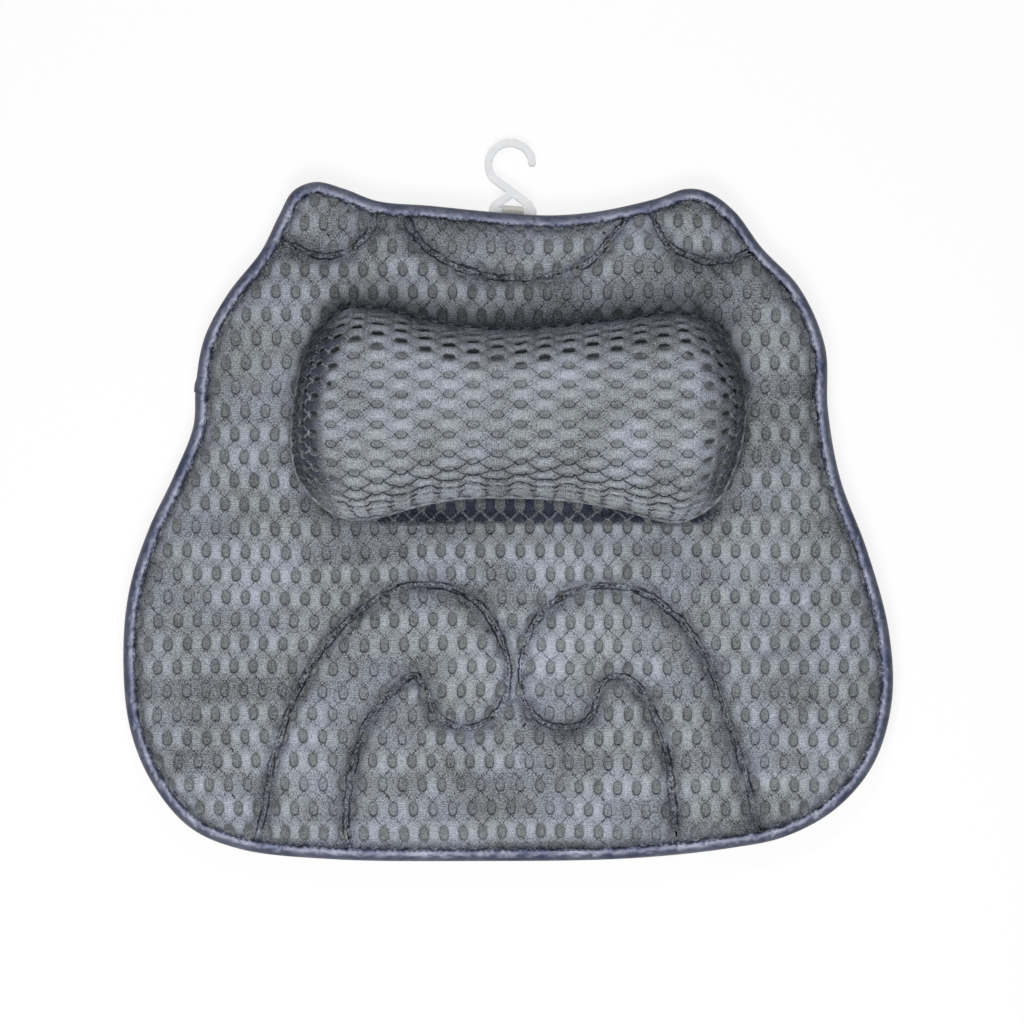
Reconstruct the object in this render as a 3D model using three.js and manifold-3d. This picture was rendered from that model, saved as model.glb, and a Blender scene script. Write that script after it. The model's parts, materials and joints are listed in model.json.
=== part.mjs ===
// A bath pillow, face up on its suction cups: a quilted mesh pad with a bound edge, a head pillow sewn
// on its face, six suction cups in straps on its back, and a plastic hook in a ribbon loop at its top.
// X runs across the face, Y from the wide end to the eared end, Z out of the face. Millimetres.
import * as THREE from "three";
import { mergeVertices } from "three/addons/utils/BufferGeometryUtils.js";
import Module from "manifold-3d";

const wasm = await Module();
wasm.setup();

// The gap between pieces that lie on each other, and how far a cutter runs past what it cuts.
const clearance = 0.3;
const overrun = 1;

const pad = { width: 461, height: 407 };

const backPanel = { thickness: 2.2 };

// The core ends inside the sewn edge. Inset is measured from the bound edge's outer face.
const core = { thickness: 4, inset: 12.5 };

// The mesh is pressed flat under the binding, over the flange, and rises to its full loft beside it.
const frontPanel = { edgeThickness: 2, loft: 6, flange: 7.6, shoulderRun: 3.2, shoulderRise: 4.4, crownRun: 8.4 };

// A quilting seam draws the mesh down between two soft shoulders.
const seam = { halfWidth: 4.2, shoulderHalfWidth: 2.2, shoulderDepth: 1.6, depth: 4.6 };

const binding = { thickness: 0.8, width: 6.8 };

const pillow = {
  width: 268,
  height: 127,
  centreX: 6.2,
  centreY: 62.4,
  spineHalfLength: 84,
  seamHeight: 14,
  domeHeight: 44,
  sideRise: 5,
};
const pillowCover = { thickness: 3 };
const pillowBack = { thickness: 1.6 };
const welt = { radius: 1.1 };

const cup = {
  radius: 21,
  rimWidth: 1.4,
  rimHeight: 1.2,
  shoulderRadius: 15,
  shoulderHeight: 4.8,
  crownRadius: 6.5,
  height: 8.6,
  hollowDepth: 3.8,
  hollowInnerRadius: 8,
  hollowInnerDepth: 3.3,
  hollowOuterRadius: 14.5,
  hollowOuterDepth: 1.9,
  neckRadius: 3,
  headRadius: 6.2,
  headTopRadius: 4.6,
  headHeight: 2.4,
};

const strap = { thickness: 1.2, width: 18, bridge: 20, slope: 6, foot: 9, holeRadius: 3.6 };

const hook = {
  barLength: 24.2,
  barRadius: 2,
  standOff: 2,
  armWidth: 4.6,
  thickness: 4,
  edgeRound: 1.1,
  arcRadius: 13.2,
  arcRise: 28.4,
  arcShift: -3.5,
  stemBendX: 9.4,
  stemBendY: 4.4,
  legBendX: -10.8,
  legBendY: 2.6,
  legTopX: -1,
  legTopY: 11.2,
};
const arcStartDegrees = 9;
const arcStepDegrees = 18;

const loop = { width: 13, thickness: 0.7, tail: 13, taper: 7, centreX: 2.9 };

// Counts of facets.
const stepsPerPoint = 2;
const pillowSteps = 2;
const cupFacets = 20;
const barFacets = 12;
const arcSteps = 12;
const weltSides = 6;
const searchSteps = 400;
// The length of one step along a quilting seam.
const seamStep = 16;

// The bound edge seen from the front, anticlockwise from the middle of the top, as shares of the pad's
// width and height from its middle. The cloth lies a little unevenly, so left and right differ.
const outlineShares = [
  [-0.001, 0.454], [-0.102, 0.465], [-0.17, 0.472], [-0.213, 0.49], [-0.25, 0.5], [-0.279, 0.487],
  [-0.298, 0.45], [-0.321, 0.398], [-0.365, 0.334], [-0.395, 0.269], [-0.406, 0.2], [-0.409, 0.141],
  [-0.435, 0.066], [-0.467, -0.011], [-0.492, -0.099], [-0.5, -0.191], [-0.492, -0.301], [-0.464, -0.382],
  [-0.414, -0.45], [-0.349, -0.482], [-0.232, -0.497], [-0.037, -0.5], [0.158, -0.496], [0.288, -0.481],
  [0.36, -0.464], [0.426, -0.423], [0.475, -0.357], [0.499, -0.264], [0.495, -0.161], [0.467, -0.043],
  [0.432, 0.063], [0.416, 0.163], [0.412, 0.258], [0.379, 0.344], [0.33, 0.403], [0.295, 0.456],
  [0.262, 0.484], [0.233, 0.49], [0.191, 0.475], [0.119, 0.457], [0.06, 0.451],
];
// The outline point at which the binding's end is lapped over its start.
const lapPoint = 10;
const lapSteps = 2;

// The quilting seams, as shares of the same two sizes.
const seamShares = {
  leftEar: [
    [-0.304, 0.42], [-0.274, 0.401], [-0.237, 0.39], [-0.209, 0.397], [-0.189, 0.413], [-0.176, 0.434],
    [-0.17, 0.464],
  ],
  rightEar: [
    [0.184, 0.466], [0.201, 0.416], [0.222, 0.397], [0.249, 0.385], [0.278, 0.382], [0.304, 0.391],
    [0.327, 0.406],
  ],
  crescent: [
    [-0.14, 0.462], [-0.115, 0.412], [-0.089, 0.388], [-0.05, 0.367], [0.006, 0.357], [0.062, 0.363],
    [0.106, 0.382], [0.128, 0.409], [0.148, 0.437], [0.159, 0.458],
  ],
  leftHorn: [
    [-0.328, -0.474], [-0.317, -0.429], [-0.31, -0.375], [-0.291, -0.3], [-0.257, -0.214], [-0.197, -0.135],
    [-0.123, -0.094], [-0.059, -0.105], [-0.018, -0.151], [0, -0.219], [-0.013, -0.28], [-0.055, -0.304],
    [-0.092, -0.284], [-0.107, -0.243], [-0.122, -0.226], [-0.145, -0.244], [-0.185, -0.3],
    [-0.202, -0.367], [-0.21, -0.426], [-0.206, -0.484],
  ],
  rightHorn: [
    [0.332, -0.464], [0.321, -0.438], [0.311, -0.382], [0.293, -0.32], [0.259, -0.205], [0.217, -0.138],
    [0.162, -0.1], [0.106, -0.096], [0.051, -0.126], [0.021, -0.186], [0.02, -0.25], [0.038, -0.29],
    [0.079, -0.303], [0.11, -0.284], [0.117, -0.25], [0.128, -0.231], [0.148, -0.229], [0.171, -0.244],
    [0.192, -0.291], [0.207, -0.348], [0.213, -0.404], [0.22, -0.476],
  ],
};

// The head pillow seen from the front, anticlockwise from the middle of its top, as shares of its own
// width and height from its middle.
const pillowShares = [
  [0, 0.4], [-0.085, 0.405], [-0.172, 0.428], [-0.281, 0.484], [-0.364, 0.5], [-0.412, 0.451],
  [-0.445, 0.367], [-0.474, 0.251], [-0.494, 0.065], [-0.5, -0.126], [-0.487, -0.284], [-0.441, -0.409],
  [-0.373, -0.484], [-0.303, -0.474], [-0.216, -0.423], [-0.129, -0.391], [-0.009, -0.386],
  [0.111, -0.4], [0.216, -0.437], [0.297, -0.484], [0.352, -0.498], [0.4, -0.46], [0.443, -0.386],
  [0.478, -0.237], [0.496, -0.084], [0.5, 0.065], [0.48, 0.228], [0.445, 0.367], [0.395, 0.451],
  [0.33, 0.474], [0.275, 0.46], [0.188, 0.437], [0.09, 0.414],
];
// How far each ring of the pillow lies from its edge towards its spine, from 0 at the edge to 1.
const domeShares = [0, 0.05, 0.14, 0.3, 0.55, 0.86];
const backShares = { foot: 0.3, side: 0.12 };
// How square the dome's section is: 2 is an ellipse.
const domePower = 2.6;

// The suction cups, as shares of the pad's width and height from its middle.
const cupShares = [
  [-0.235, 0.3], [0.235, 0.3], [-0.35, -0.06], [0.35, -0.06], [-0.23, -0.36], [0.23, -0.36],
];

// Heights above the surface that the cups stand on.
const strapUnder = cup.height + clearance;
const headUnder = strapUnder + strap.thickness + clearance;
const backUnder = headUnder + cup.headHeight + clearance;
const backTop = backUnder + backPanel.thickness;
const coreUnder = backTop + clearance;
const coreTop = coreUnder + core.thickness;
const frontUnder = coreTop + clearance;
const frontTop = frontUnder + frontPanel.loft;
const edgeTop = coreUnder + frontPanel.edgeThickness;
const bindingUnder = backUnder - clearance - binding.thickness;
const pillowUnder = frontTop + clearance;
const pillowSeam = pillowUnder + pillow.seamHeight;
const panelInset = binding.thickness + clearance;

const part = new THREE.Group();

const colours = {
  mesh: 0x7e838a,
  innerMesh: 0x9aa0a4,
  satin: 0x565b70,
  filling: 0xe6e6e2,
  ribbon: 0xe8e6df,
  white: 0xeef1f3,
  clearPvc: 0xdfe6e8,
  webbing: 0x5b606c,
};

function finish(colour, roughness) {
  return new THREE.MeshStandardMaterial({ color: colour, roughness, metalness: 0 });
}
const fabric = finish(colours.mesh, 0.92);
const innerFabric = finish(colours.innerMesh, 0.95);
const satin = finish(colours.satin, 0.42);
const fibre = finish(colours.filling, 0.95);
const ribbon = finish(colours.ribbon, 0.7);
const whitePlastic = finish(colours.white, 0.3);
const softPvc = finish(colours.clearPvc, 0.15);
const webbing = finish(colours.webbing, 0.85);

function add(name, geometry, material, parent = part) {
  const mesh = new THREE.Mesh(geometry, material);
  mesh.name = name;
  parent.add(mesh);
  return mesh;
}

// Six times the signed volume under the triangles: positive when they face outwards.
function volumeOf(points, triangles) {
  const normal = new THREE.Vector3();
  return triangles.reduce(
    (sum, [a, b, c]) => sum + points[a].dot(normal.crossVectors(points[b], points[c])),
    0,
  );
}

function facingOut(points, triangles) {
  return volumeOf(points, triangles) < 0 ? triangles.map(([a, b, c]) => [a, c, b]) : triangles;
}

// Triangles over a flat ring of points, all turned the ring's own way.
function capOf(flat, first, reversed) {
  const ringTurn = Math.sign(THREE.ShapeUtils.area(flat));
  return THREE.ShapeUtils.triangulateShape(flat, []).map(([a, b, c]) => {
    const turn = Math.sign(THREE.ShapeUtils.area([flat[a], flat[b], flat[c]]));
    const swap = turn !== ringTurn !== reversed;
    return swap ? [first + a, first + c, first + b] : [first + a, first + b, first + c];
  });
}

// A closed body over rows of points: each row is a ring, and the first and last rings are capped,
// unless the rows themselves join up into a loop.
function skin(rows, { looped = false, flatten = (p) => new THREE.Vector2(p.x, p.y) } = {}) {
  const count = rows[0].length;
  const points = rows.flat();
  const triangles = [];
  const bands = looped ? rows.length : rows.length - 1;
  for (let row = 0; row < bands; row += 1) {
    const next = (row + 1) % rows.length;
    for (let k = 0; k < count; k += 1) {
      const beside = (k + 1) % count;
      const corners = [row * count + k, row * count + beside, next * count + beside, next * count + k];
      triangles.push([corners[0], corners[1], corners[2]], [corners[0], corners[2], corners[3]]);
    }
  }
  if (!looped) {
    const last = rows.length - 1;
    triangles.push(...capOf(rows[0].map(flatten), 0, true));
    triangles.push(...capOf(rows[last].map(flatten), last * count, false));
  }
  return { points, triangles: facingOut(points, triangles) };
}

// A closed body over rows that are all placed from one flat profile.
function sweep(rows, profile) {
  const flat = profile.map(([across, height]) => new THREE.Vector2(across, height));
  return skin(rows, { flatten: (p, k) => flat[k] });
}

function geometryOf({ points, triangles }) {
  const geometry = new THREE.BufferGeometry().setFromPoints(points);
  geometry.setIndex(triangles.flat());
  return geometry;
}

function solidOf(shell) {
  const vertProperties = new Float32Array(shell.points.flatMap((p) => p.toArray()));
  const triVerts = new Uint32Array(shell.triangles.flat());
  return new wasm.Manifold(new wasm.Mesh({ numProp: 3, vertProperties, triVerts }));
}

// A manifold solid as a three.js geometry.
function geometryFrom(solid) {
  const made = solid.getMesh();
  const geometry = new THREE.BufferGeometry();
  geometry.setAttribute("position", new THREE.BufferAttribute(new Float32Array(made.vertProperties), 3));
  geometry.setIndex(new THREE.BufferAttribute(new Uint32Array(made.triVerts), 1));
  return geometry;
}

// A closed geometry, such as a lathe or a cylinder, as points and triangles with shared corners merged.
function shellOf(geometry) {
  geometry.deleteAttribute("normal");
  geometry.deleteAttribute("uv");
  const merged = mergeVertices(geometry);
  const position = merged.getAttribute("position");
  const points = Array.from({ length: position.count }, (_, i) => (
    new THREE.Vector3().fromBufferAttribute(position, i)
  ));
  const corners = Array.from(merged.index.array);
  const triangles = [];
  for (let i = 0; i < corners.length; i += 3) {
    const [a, b, c] = corners.slice(i, i + 3);
    if (a !== b && b !== c && c !== a) triangles.push([a, b, c]);
  }
  return { points, triangles: facingOut(points, triangles) };
}

// A smooth line through shares of a width and a height.
function lineThrough(shares, width, height, closed) {
  const places = shares.map(([x, y]) => new THREE.Vector3(x * width, y * height, 0));
  return new THREE.CatmullRomCurve3(places, closed, "centripetal");
}

// A point of a line, with the way that points to the left of the line there.
function stationFrom(at, along) {
  return { at, inward: new THREE.Vector3(-along.y, along.x, 0).normalize() };
}

// Points of a closed anticlockwise line, whose left is its inside.
function stationsOf(curve, count) {
  return Array.from({ length: count }, (_, i) => (
    stationFrom(curve.getPoint(i / count), curve.getTangent(i / count))
  ));
}

// The point that lies a given way in from a station, at a height.
function inFrom({ at, inward }, inset, height) {
  return at.clone().addScaledVector(inward, inset).setZ(height);
}

const edge = stationsOf(
  lineThrough(outlineShares, pad.width, pad.height, true),
  outlineShares.length * stepsPerPoint,
);
const ringAt = (inset, height) => edge.map((station) => inFrom(station, inset, height));

function makeBackPanel() {
  return geometryOf(skin([ringAt(panelInset, backUnder), ringAt(panelInset, backTop)]));
}

function makeCore() {
  return geometryOf(skin([ringAt(core.inset, coreUnder), ringAt(core.inset, coreTop)]));
}

// The cutter for one quilting seam: a valley with soft shoulders, along the seam's line.
function seamCutter(shares) {
  const curve = lineThrough(shares, pad.width, pad.height, false);
  const steps = Math.round(curve.getLength() / seamStep);
  const slope = (seam.halfWidth - seam.shoulderHalfWidth) / seam.shoulderDepth;
  const rimHalfWidth = seam.halfWidth + overrun * slope;
  const profile = [
    [-rimHalfWidth, frontTop + overrun],
    [-seam.shoulderHalfWidth, frontTop - seam.shoulderDepth],
    [0, frontTop - seam.depth],
    [seam.shoulderHalfWidth, frontTop - seam.shoulderDepth],
    [rimHalfWidth, frontTop + overrun],
  ];
  const rows = Array.from({ length: steps + 1 }, (_, i) => {
    const station = stationFrom(curve.getPointAt(i / steps), curve.getTangentAt(i / steps));
    return profile.map(([across, height]) => inFrom(station, across, height));
  });
  return solidOf(sweep(rows, profile));
}

function makeFrontPanel() {
  const shoulderInset = frontPanel.flange + frontPanel.shoulderRun;
  const body = skin([
    ringAt(core.inset - overrun, frontUnder),
    ringAt(frontPanel.flange, coreUnder),
    ringAt(panelInset, coreUnder),
    ringAt(panelInset, edgeTop),
    ringAt(frontPanel.flange, edgeTop),
    ringAt(shoulderInset, edgeTop + frontPanel.shoulderRise),
    ringAt(frontPanel.flange + frontPanel.crownRun, frontTop),
  ]);
  const quilted = Object.values(seamShares).reduce(
    (solid, shares) => solid.subtract(seamCutter(shares)),
    solidOf(body),
  );
  return geometryFrom(quilted);
}

// The binding is one length of tape folded round the edge. Its end is lifted over its own start.
function makeBinding() {
  const start = lapPoint * stepsPerPoint - lapSteps;
  const total = edge.length + lapSteps;
  const innerTop = edgeTop + clearance;
  const innerUnder = backUnder - clearance;
  const middle = (innerTop + innerUnder) / 2;
  const rows = Array.from({ length: total + 1 }, (_, i) => {
    const lift = Math.max(0, Math.min(1, i - edge.length + 1)) * (binding.thickness + clearance);
    const top = innerTop + lift;
    const under = innerUnder - lift;
    const profile = [
      [binding.width, top + binding.thickness],
      [binding.thickness, top + binding.thickness],
      [-lift, middle],
      [binding.thickness, under - binding.thickness],
      [binding.width, under - binding.thickness],
      [binding.width, under],
      [binding.thickness - lift, under],
      [binding.thickness - lift, top],
      [binding.width, top],
    ];
    const station = edge[(start + i) % edge.length];
    return { ring: profile.map(([inset, height]) => inFrom(station, inset, height)), profile };
  });
  return geometryOf(sweep(rows.map((row) => row.ring), rows[0].profile));
}

// The pillow's rings run from its edge towards a straight spine, and keep their own heights.
const pillowEdge = stationsOf(
  lineThrough(pillowShares, pillow.width, pillow.height, true),
  pillowShares.length * pillowSteps,
);
function pillowRing(inset, share, height) {
  return pillowEdge.map((station) => {
    const outer = inFrom(station, inset, height);
    const spineX = THREE.MathUtils.clamp(outer.x, -pillow.spineHalfLength, pillow.spineHalfLength);
    const spine = new THREE.Vector3(spineX, 0, height);
    const placed = outer.lerp(spine, share);
    return placed.add(new THREE.Vector3(pillow.centreX, pillow.centreY, 0));
  });
}
const domeRise = (share) => (1 - (1 - share) ** domePower) ** (1 / domePower);
const coverInset = welt.radius + welt.radius + clearance;

// Rings of a dome that stands on the seam, from its edge up.
function domeRings(inset, seamHeight, rise) {
  return domeShares.map((share) => pillowRing(inset, share, seamHeight + rise * domeRise(share)));
}

function makePillowCover() {
  const inset = coverInset + pillowCover.thickness;
  const inside = domeRings(inset, pillowSeam, pillow.domeHeight - pillowCover.thickness);
  return geometryOf(skin([...inside.reverse(), ...domeRings(coverInset, pillowSeam, pillow.domeHeight)]));
}

function makePillowBack() {
  const inset = coverInset + pillowBack.thickness;
  const rim = pillowSeam - clearance;
  return geometryOf(skin([
    pillowRing(coverInset, backShares.foot, pillowUnder),
    pillowRing(coverInset, backShares.side, pillowUnder + pillow.sideRise),
    pillowRing(coverInset, 0, rim),
    pillowRing(inset, 0, rim),
    pillowRing(inset, backShares.side, pillowUnder + pillow.sideRise + pillowBack.thickness),
    pillowRing(inset, backShares.foot, pillowUnder + pillowBack.thickness),
  ]));
}

function makePillowFilling() {
  const inset = coverInset + pillowCover.thickness + clearance;
  const under = pillowUnder + pillowBack.thickness + clearance;
  const rise = pillow.domeHeight - pillowCover.thickness - clearance;
  return geometryOf(skin([
    pillowRing(inset, backShares.foot, under),
    pillowRing(inset, backShares.side, under + pillow.sideRise),
    ...domeRings(inset, pillowSeam, rise),
  ]));
}

function makeWelt() {
  const profile = Array.from({ length: weltSides }, (_, k) => {
    const turn = (2 * Math.PI * k) / weltSides;
    return [welt.radius + welt.radius * Math.cos(turn), pillowSeam + welt.radius * Math.sin(turn)];
  });
  const rings = profile.map(([inset, height]) => pillowRing(inset, 0, height));
  return geometryOf(skin(rings, { looped: true }));
}

// A moulded cup with a hollow face, a neck and a mushroom head.
function makeCup() {
  const hollowRim = cup.radius - cup.rimWidth;
  const profile = [
    [0, cup.hollowDepth],
    [cup.hollowInnerRadius, cup.hollowInnerDepth],
    [cup.hollowOuterRadius, cup.hollowOuterDepth],
    [hollowRim, 0],
    [cup.radius, 0],
    [cup.radius, cup.rimHeight],
    [cup.shoulderRadius, cup.shoulderHeight],
    [cup.crownRadius, cup.height],
    [cup.neckRadius, cup.height],
    [cup.neckRadius, headUnder],
    [cup.headRadius, headUnder],
    [cup.headTopRadius, headUnder + cup.headHeight],
    [0, headUnder + cup.headHeight],
  ].map(([radius, height]) => new THREE.Vector2(radius, height));
  return geometryOf(shellOf(new THREE.LatheGeometry(profile, cupFacets).rotateX(Math.PI / 2)));
}

// A webbing strap sewn down at both feet, raised between them for the cup's head, with a hole for its neck.
function makeStrap() {
  const footHeight = backUnder - clearance - strap.thickness;
  const inner = strap.bridge / 2;
  const outer = inner + strap.slope;
  const end = outer + strap.foot;
  const under = [[-end, footHeight], [-outer, footHeight], [-inner, strapUnder], [inner, strapUnder],
    [outer, footHeight], [end, footHeight]];
  const top = under.map(([y, height]) => [y, height + strap.thickness]).reverse();
  const half = strap.width / 2;
  const profile = [...under, ...top];
  const rows = [-half, half].map((x) => profile.map(([y, height]) => new THREE.Vector3(x, y, height)));
  const band = solidOf(sweep(rows, profile));
  const depth = strap.thickness + overrun + overrun;
  const hole = new THREE.CylinderGeometry(strap.holeRadius, strap.holeRadius, depth, cupFacets);
  hole.rotateX(Math.PI / 2).translate(0, 0, strapUnder + strap.thickness / 2);
  return geometryFrom(band.subtract(solidOf(shellOf(hole))));
}

// The hook's rod: an eight-sided section, flat on both faces, along a line in the hook's own plane.
function rodAlong(line) {
  const halfWidth = hook.armWidth / 2;
  const halfThickness = hook.thickness / 2;
  const flatWidth = halfWidth - hook.edgeRound;
  const flatThickness = halfThickness - hook.edgeRound;
  const profile = [
    [halfWidth, -flatThickness], [halfWidth, flatThickness], [flatWidth, halfThickness],
    [-flatWidth, halfThickness], [-halfWidth, flatThickness], [-halfWidth, -flatThickness],
    [-flatWidth, -halfThickness], [flatWidth, -halfThickness],
  ];
  const rows = line.map((at, i) => {
    const along = line[Math.min(i + 1, line.length - 1)].clone().sub(line[Math.max(i - 1, 0)]);
    const station = stationFrom(at, along);
    return profile.map(([across, height]) => inFrom(station, across, height));
  });
  return solidOf(sweep(rows, profile));
}

function arcPoint(step) {
  const angle = THREE.MathUtils.degToRad(arcStartDegrees + step * arcStepDegrees);
  const x = hook.arcShift + hook.arcRadius * Math.cos(angle);
  return new THREE.Vector3(x, hook.arcRise + hook.arcRadius * Math.sin(angle), 0);
}

// A round end or corner of the hook, as wide and as thick as its rod.
function roundAt({ x, y }) {
  const disc = new THREE.CylinderGeometry(hook.armWidth / 2, hook.armWidth / 2, hook.thickness, barFacets);
  return solidOf(shellOf(disc.rotateX(Math.PI / 2).translate(x, y, 0)));
}

// The hook in its own frame: the bar on X, the open arc above it, the legs and bar closing a triangle.
function makeHook() {
  const arc = Array.from({ length: arcSteps + 1 }, (_, step) => arcPoint(step));
  const rightCorner = new THREE.Vector3(hook.barLength / 2, 0, 0);
  const leftCorner = rightCorner.clone().negate();
  const stemBend = new THREE.Vector3(hook.stemBendX, hook.stemBendY, 0);
  const legBend = new THREE.Vector3(hook.legBendX, hook.legBendY, 0);
  const legTop = new THREE.Vector3(hook.legTopX, hook.legTopY, 0);
  const stem = rodAlong([...arc, stemBend, rightCorner]);
  const leg = rodAlong([leftCorner, legBend, legTop]);
  const bar = new THREE.CylinderGeometry(hook.barRadius, hook.barRadius, hook.barLength, barFacets);
  const rounds = [leftCorner, rightCorner, arc[0]].map(roundAt);
  const pieces = [leg, solidOf(shellOf(bar.rotateZ(Math.PI / 2))), ...rounds];
  return geometryFrom(pieces.reduce((sum, piece) => sum.add(piece), stem));
}

// The ribbon loop in the same frame: round the bar, and back to a flat tail under the pad's edge.
function makeLoop(barHeight) {
  const hole = hook.barRadius + clearance;
  const outer = hole + loop.thickness;
  const tailTop = bindingUnder - clearance - barHeight;
  const tailUnder = tailTop - loop.thickness - loop.thickness;
  const arc = Array.from({ length: barFacets + 1 }, (_, i) => {
    const angle = Math.PI / 2 - (Math.PI * i) / barFacets;
    return [outer * Math.cos(angle), outer * Math.sin(angle)];
  });
  const profile = [...arc, [-loop.taper, tailUnder], [-loop.tail, tailUnder], [-loop.tail, tailTop]];
  const half = loop.width / 2;
  const rows = [-half, half].map((x) => profile.map(([y, height]) => new THREE.Vector3(x, y, height)));
  const band = solidOf(sweep(rows, profile));
  const bore = new THREE.CylinderGeometry(hole, hole, loop.width + overrun + overrun, barFacets);
  return geometryFrom(band.subtract(solidOf(shellOf(bore.rotateZ(Math.PI / 2)))));
}

// Where the hook's bar lies: just outside the top edge, square to it, and low enough for the loop to
// pass under the binding. The arc droops until it lies on the surface that the cups stand on.
const topCurve = lineThrough(outlineShares, pad.width, pad.height, true);
function edgeAbove(x) {
  const near = Array.from({ length: searchSteps }, (_, i) => i / searchSteps)
    .filter((t) => topCurve.getPoint(t).y > 0)
    .reduce((best, t) => {
      const isNearer = Math.abs(topCurve.getPoint(t).x - x) < Math.abs(topCurve.getPoint(best).x - x);
      return isNearer ? t : best;
    }, 0);
  return { at: topCurve.getPoint(near), along: topCurve.getTangent(near).negate() };
}
const barHeight = bindingUnder - clearance - loop.thickness - clearance - hook.barRadius;
const hookEdge = edgeAbove(loop.centreX);
const hookTurn = Math.atan2(hookEdge.along.y, hookEdge.along.x);
const hookReach = hook.arcRise + hook.arcRadius;
const hookDroop = Math.asin((barHeight - hook.thickness / 2 - clearance) / hookReach);

const topGroup = new THREE.Group();
topGroup.position.set(hookEdge.at.x, hookEdge.at.y, barHeight);
topGroup.rotation.z = hookTurn;
const swing = new THREE.Group();
swing.position.y = hook.standOff;
part.add(topGroup);
topGroup.add(swing);

add("back_panel", makeBackPanel(), fabric);
add("spacer_core", makeCore(), innerFabric);
add("front_panel", makeFrontPanel(), fabric);
add("edge_binding", makeBinding(), satin);
add("pillow_cover", makePillowCover(), fabric);
add("pillow_back", makePillowBack(), fabric);
add("pillow_filling", makePillowFilling(), fibre);
add("pillow_welt", makeWelt(), fabric);
add("hang_loop", makeLoop(barHeight), ribbon, swing);
const hookMesh = add("hanging_hook", makeHook(), whitePlastic, swing);
hookMesh.rotation.x = -hookDroop;

cupShares.forEach(([x, y], i) => {
  const place = new THREE.Group();
  place.position.set(x * pad.width, y * pad.height, 0);
  part.add(place);
  add(`suction_cup_${i + 1}`, makeCup(), softPvc, place);
  add(`cup_strap_${i + 1}`, makeStrap(), webbing, place);
});

// The origin is the middle of the whole part's box, on the surface that it stands on.
part.updateMatrixWorld(true);
const whole = new THREE.Box3().setFromObject(part, true);
const middle = whole.getCenter(new THREE.Vector3());
part.position.set(-middle.x, -middle.y, -whole.min.z);

export default part;
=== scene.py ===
# A bath pillow, face up on its suction cups: its fabrics, threads, plastics, light and camera.
# Shapes are worked out in millimetres round the pad's middle and written in metres.
import json
import math

import bmesh
import bpy
import numpy as np
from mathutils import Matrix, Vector, kdtree
from mathutils.bvhtree import BVHTree

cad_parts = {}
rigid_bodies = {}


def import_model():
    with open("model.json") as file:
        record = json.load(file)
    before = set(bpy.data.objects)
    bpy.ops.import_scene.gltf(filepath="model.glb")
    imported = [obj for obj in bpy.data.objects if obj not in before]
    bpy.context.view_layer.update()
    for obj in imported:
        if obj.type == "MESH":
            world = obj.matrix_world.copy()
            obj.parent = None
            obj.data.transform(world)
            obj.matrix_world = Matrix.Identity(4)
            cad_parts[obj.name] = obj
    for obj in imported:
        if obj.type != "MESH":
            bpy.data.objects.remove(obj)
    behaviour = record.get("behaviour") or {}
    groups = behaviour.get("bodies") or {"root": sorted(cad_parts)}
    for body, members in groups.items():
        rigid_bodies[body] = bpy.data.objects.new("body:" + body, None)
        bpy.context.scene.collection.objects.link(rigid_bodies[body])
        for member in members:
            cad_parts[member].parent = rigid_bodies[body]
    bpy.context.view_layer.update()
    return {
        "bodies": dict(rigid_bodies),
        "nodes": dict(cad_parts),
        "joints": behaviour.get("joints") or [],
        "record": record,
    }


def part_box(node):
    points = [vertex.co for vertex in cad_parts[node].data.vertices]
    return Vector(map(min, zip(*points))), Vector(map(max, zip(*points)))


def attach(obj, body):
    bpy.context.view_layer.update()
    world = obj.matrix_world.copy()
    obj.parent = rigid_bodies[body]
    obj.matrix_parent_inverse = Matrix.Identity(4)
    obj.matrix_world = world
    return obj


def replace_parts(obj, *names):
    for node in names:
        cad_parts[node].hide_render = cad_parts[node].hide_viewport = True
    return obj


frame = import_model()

mm = 0.001
print("frame loaded")


def boxOf(node):  # a CAD node's lowest and highest corners, in millimetres
    low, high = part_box(node)
    return np.array(low) / mm, np.array(high) / mm


# The pad. Its outline and seams are shares of its width and height from its middle, as in the CAD model.
pad = {
    "width": 461,
    "height": 407,
    "cupShare": 0.3,  # the upper cups stand this share of the height above the middle
    "edgeTop": 17.6,
    "edgeUnder": 15.6,
    "top": 25.9,
    "under": 19.9,
    "flange": 7.2,
}
padSize = np.array([pad["width"], pad["height"]])
outlineShares = [
    (-0.001, 0.454), (-0.102, 0.465), (-0.17, 0.472), (-0.213, 0.49), (-0.25, 0.5), (-0.279, 0.487),
    (-0.298, 0.45), (-0.321, 0.398), (-0.365, 0.334), (-0.395, 0.269), (-0.406, 0.2), (-0.409, 0.141),
    (-0.435, 0.066), (-0.467, -0.011), (-0.492, -0.099), (-0.5, -0.191), (-0.492, -0.301), (-0.464, -0.382),
    (-0.414, -0.45), (-0.349, -0.482), (-0.232, -0.497), (-0.037, -0.5), (0.158, -0.496), (0.288, -0.481),
    (0.36, -0.464), (0.426, -0.423), (0.475, -0.357), (0.499, -0.264), (0.495, -0.161), (0.467, -0.043),
    (0.432, 0.063), (0.416, 0.163), (0.412, 0.258), (0.379, 0.344), (0.33, 0.403), (0.295, 0.456),
    (0.262, 0.484), (0.233, 0.49), (0.191, 0.475), (0.119, 0.457), (0.06, 0.451),
]
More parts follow.
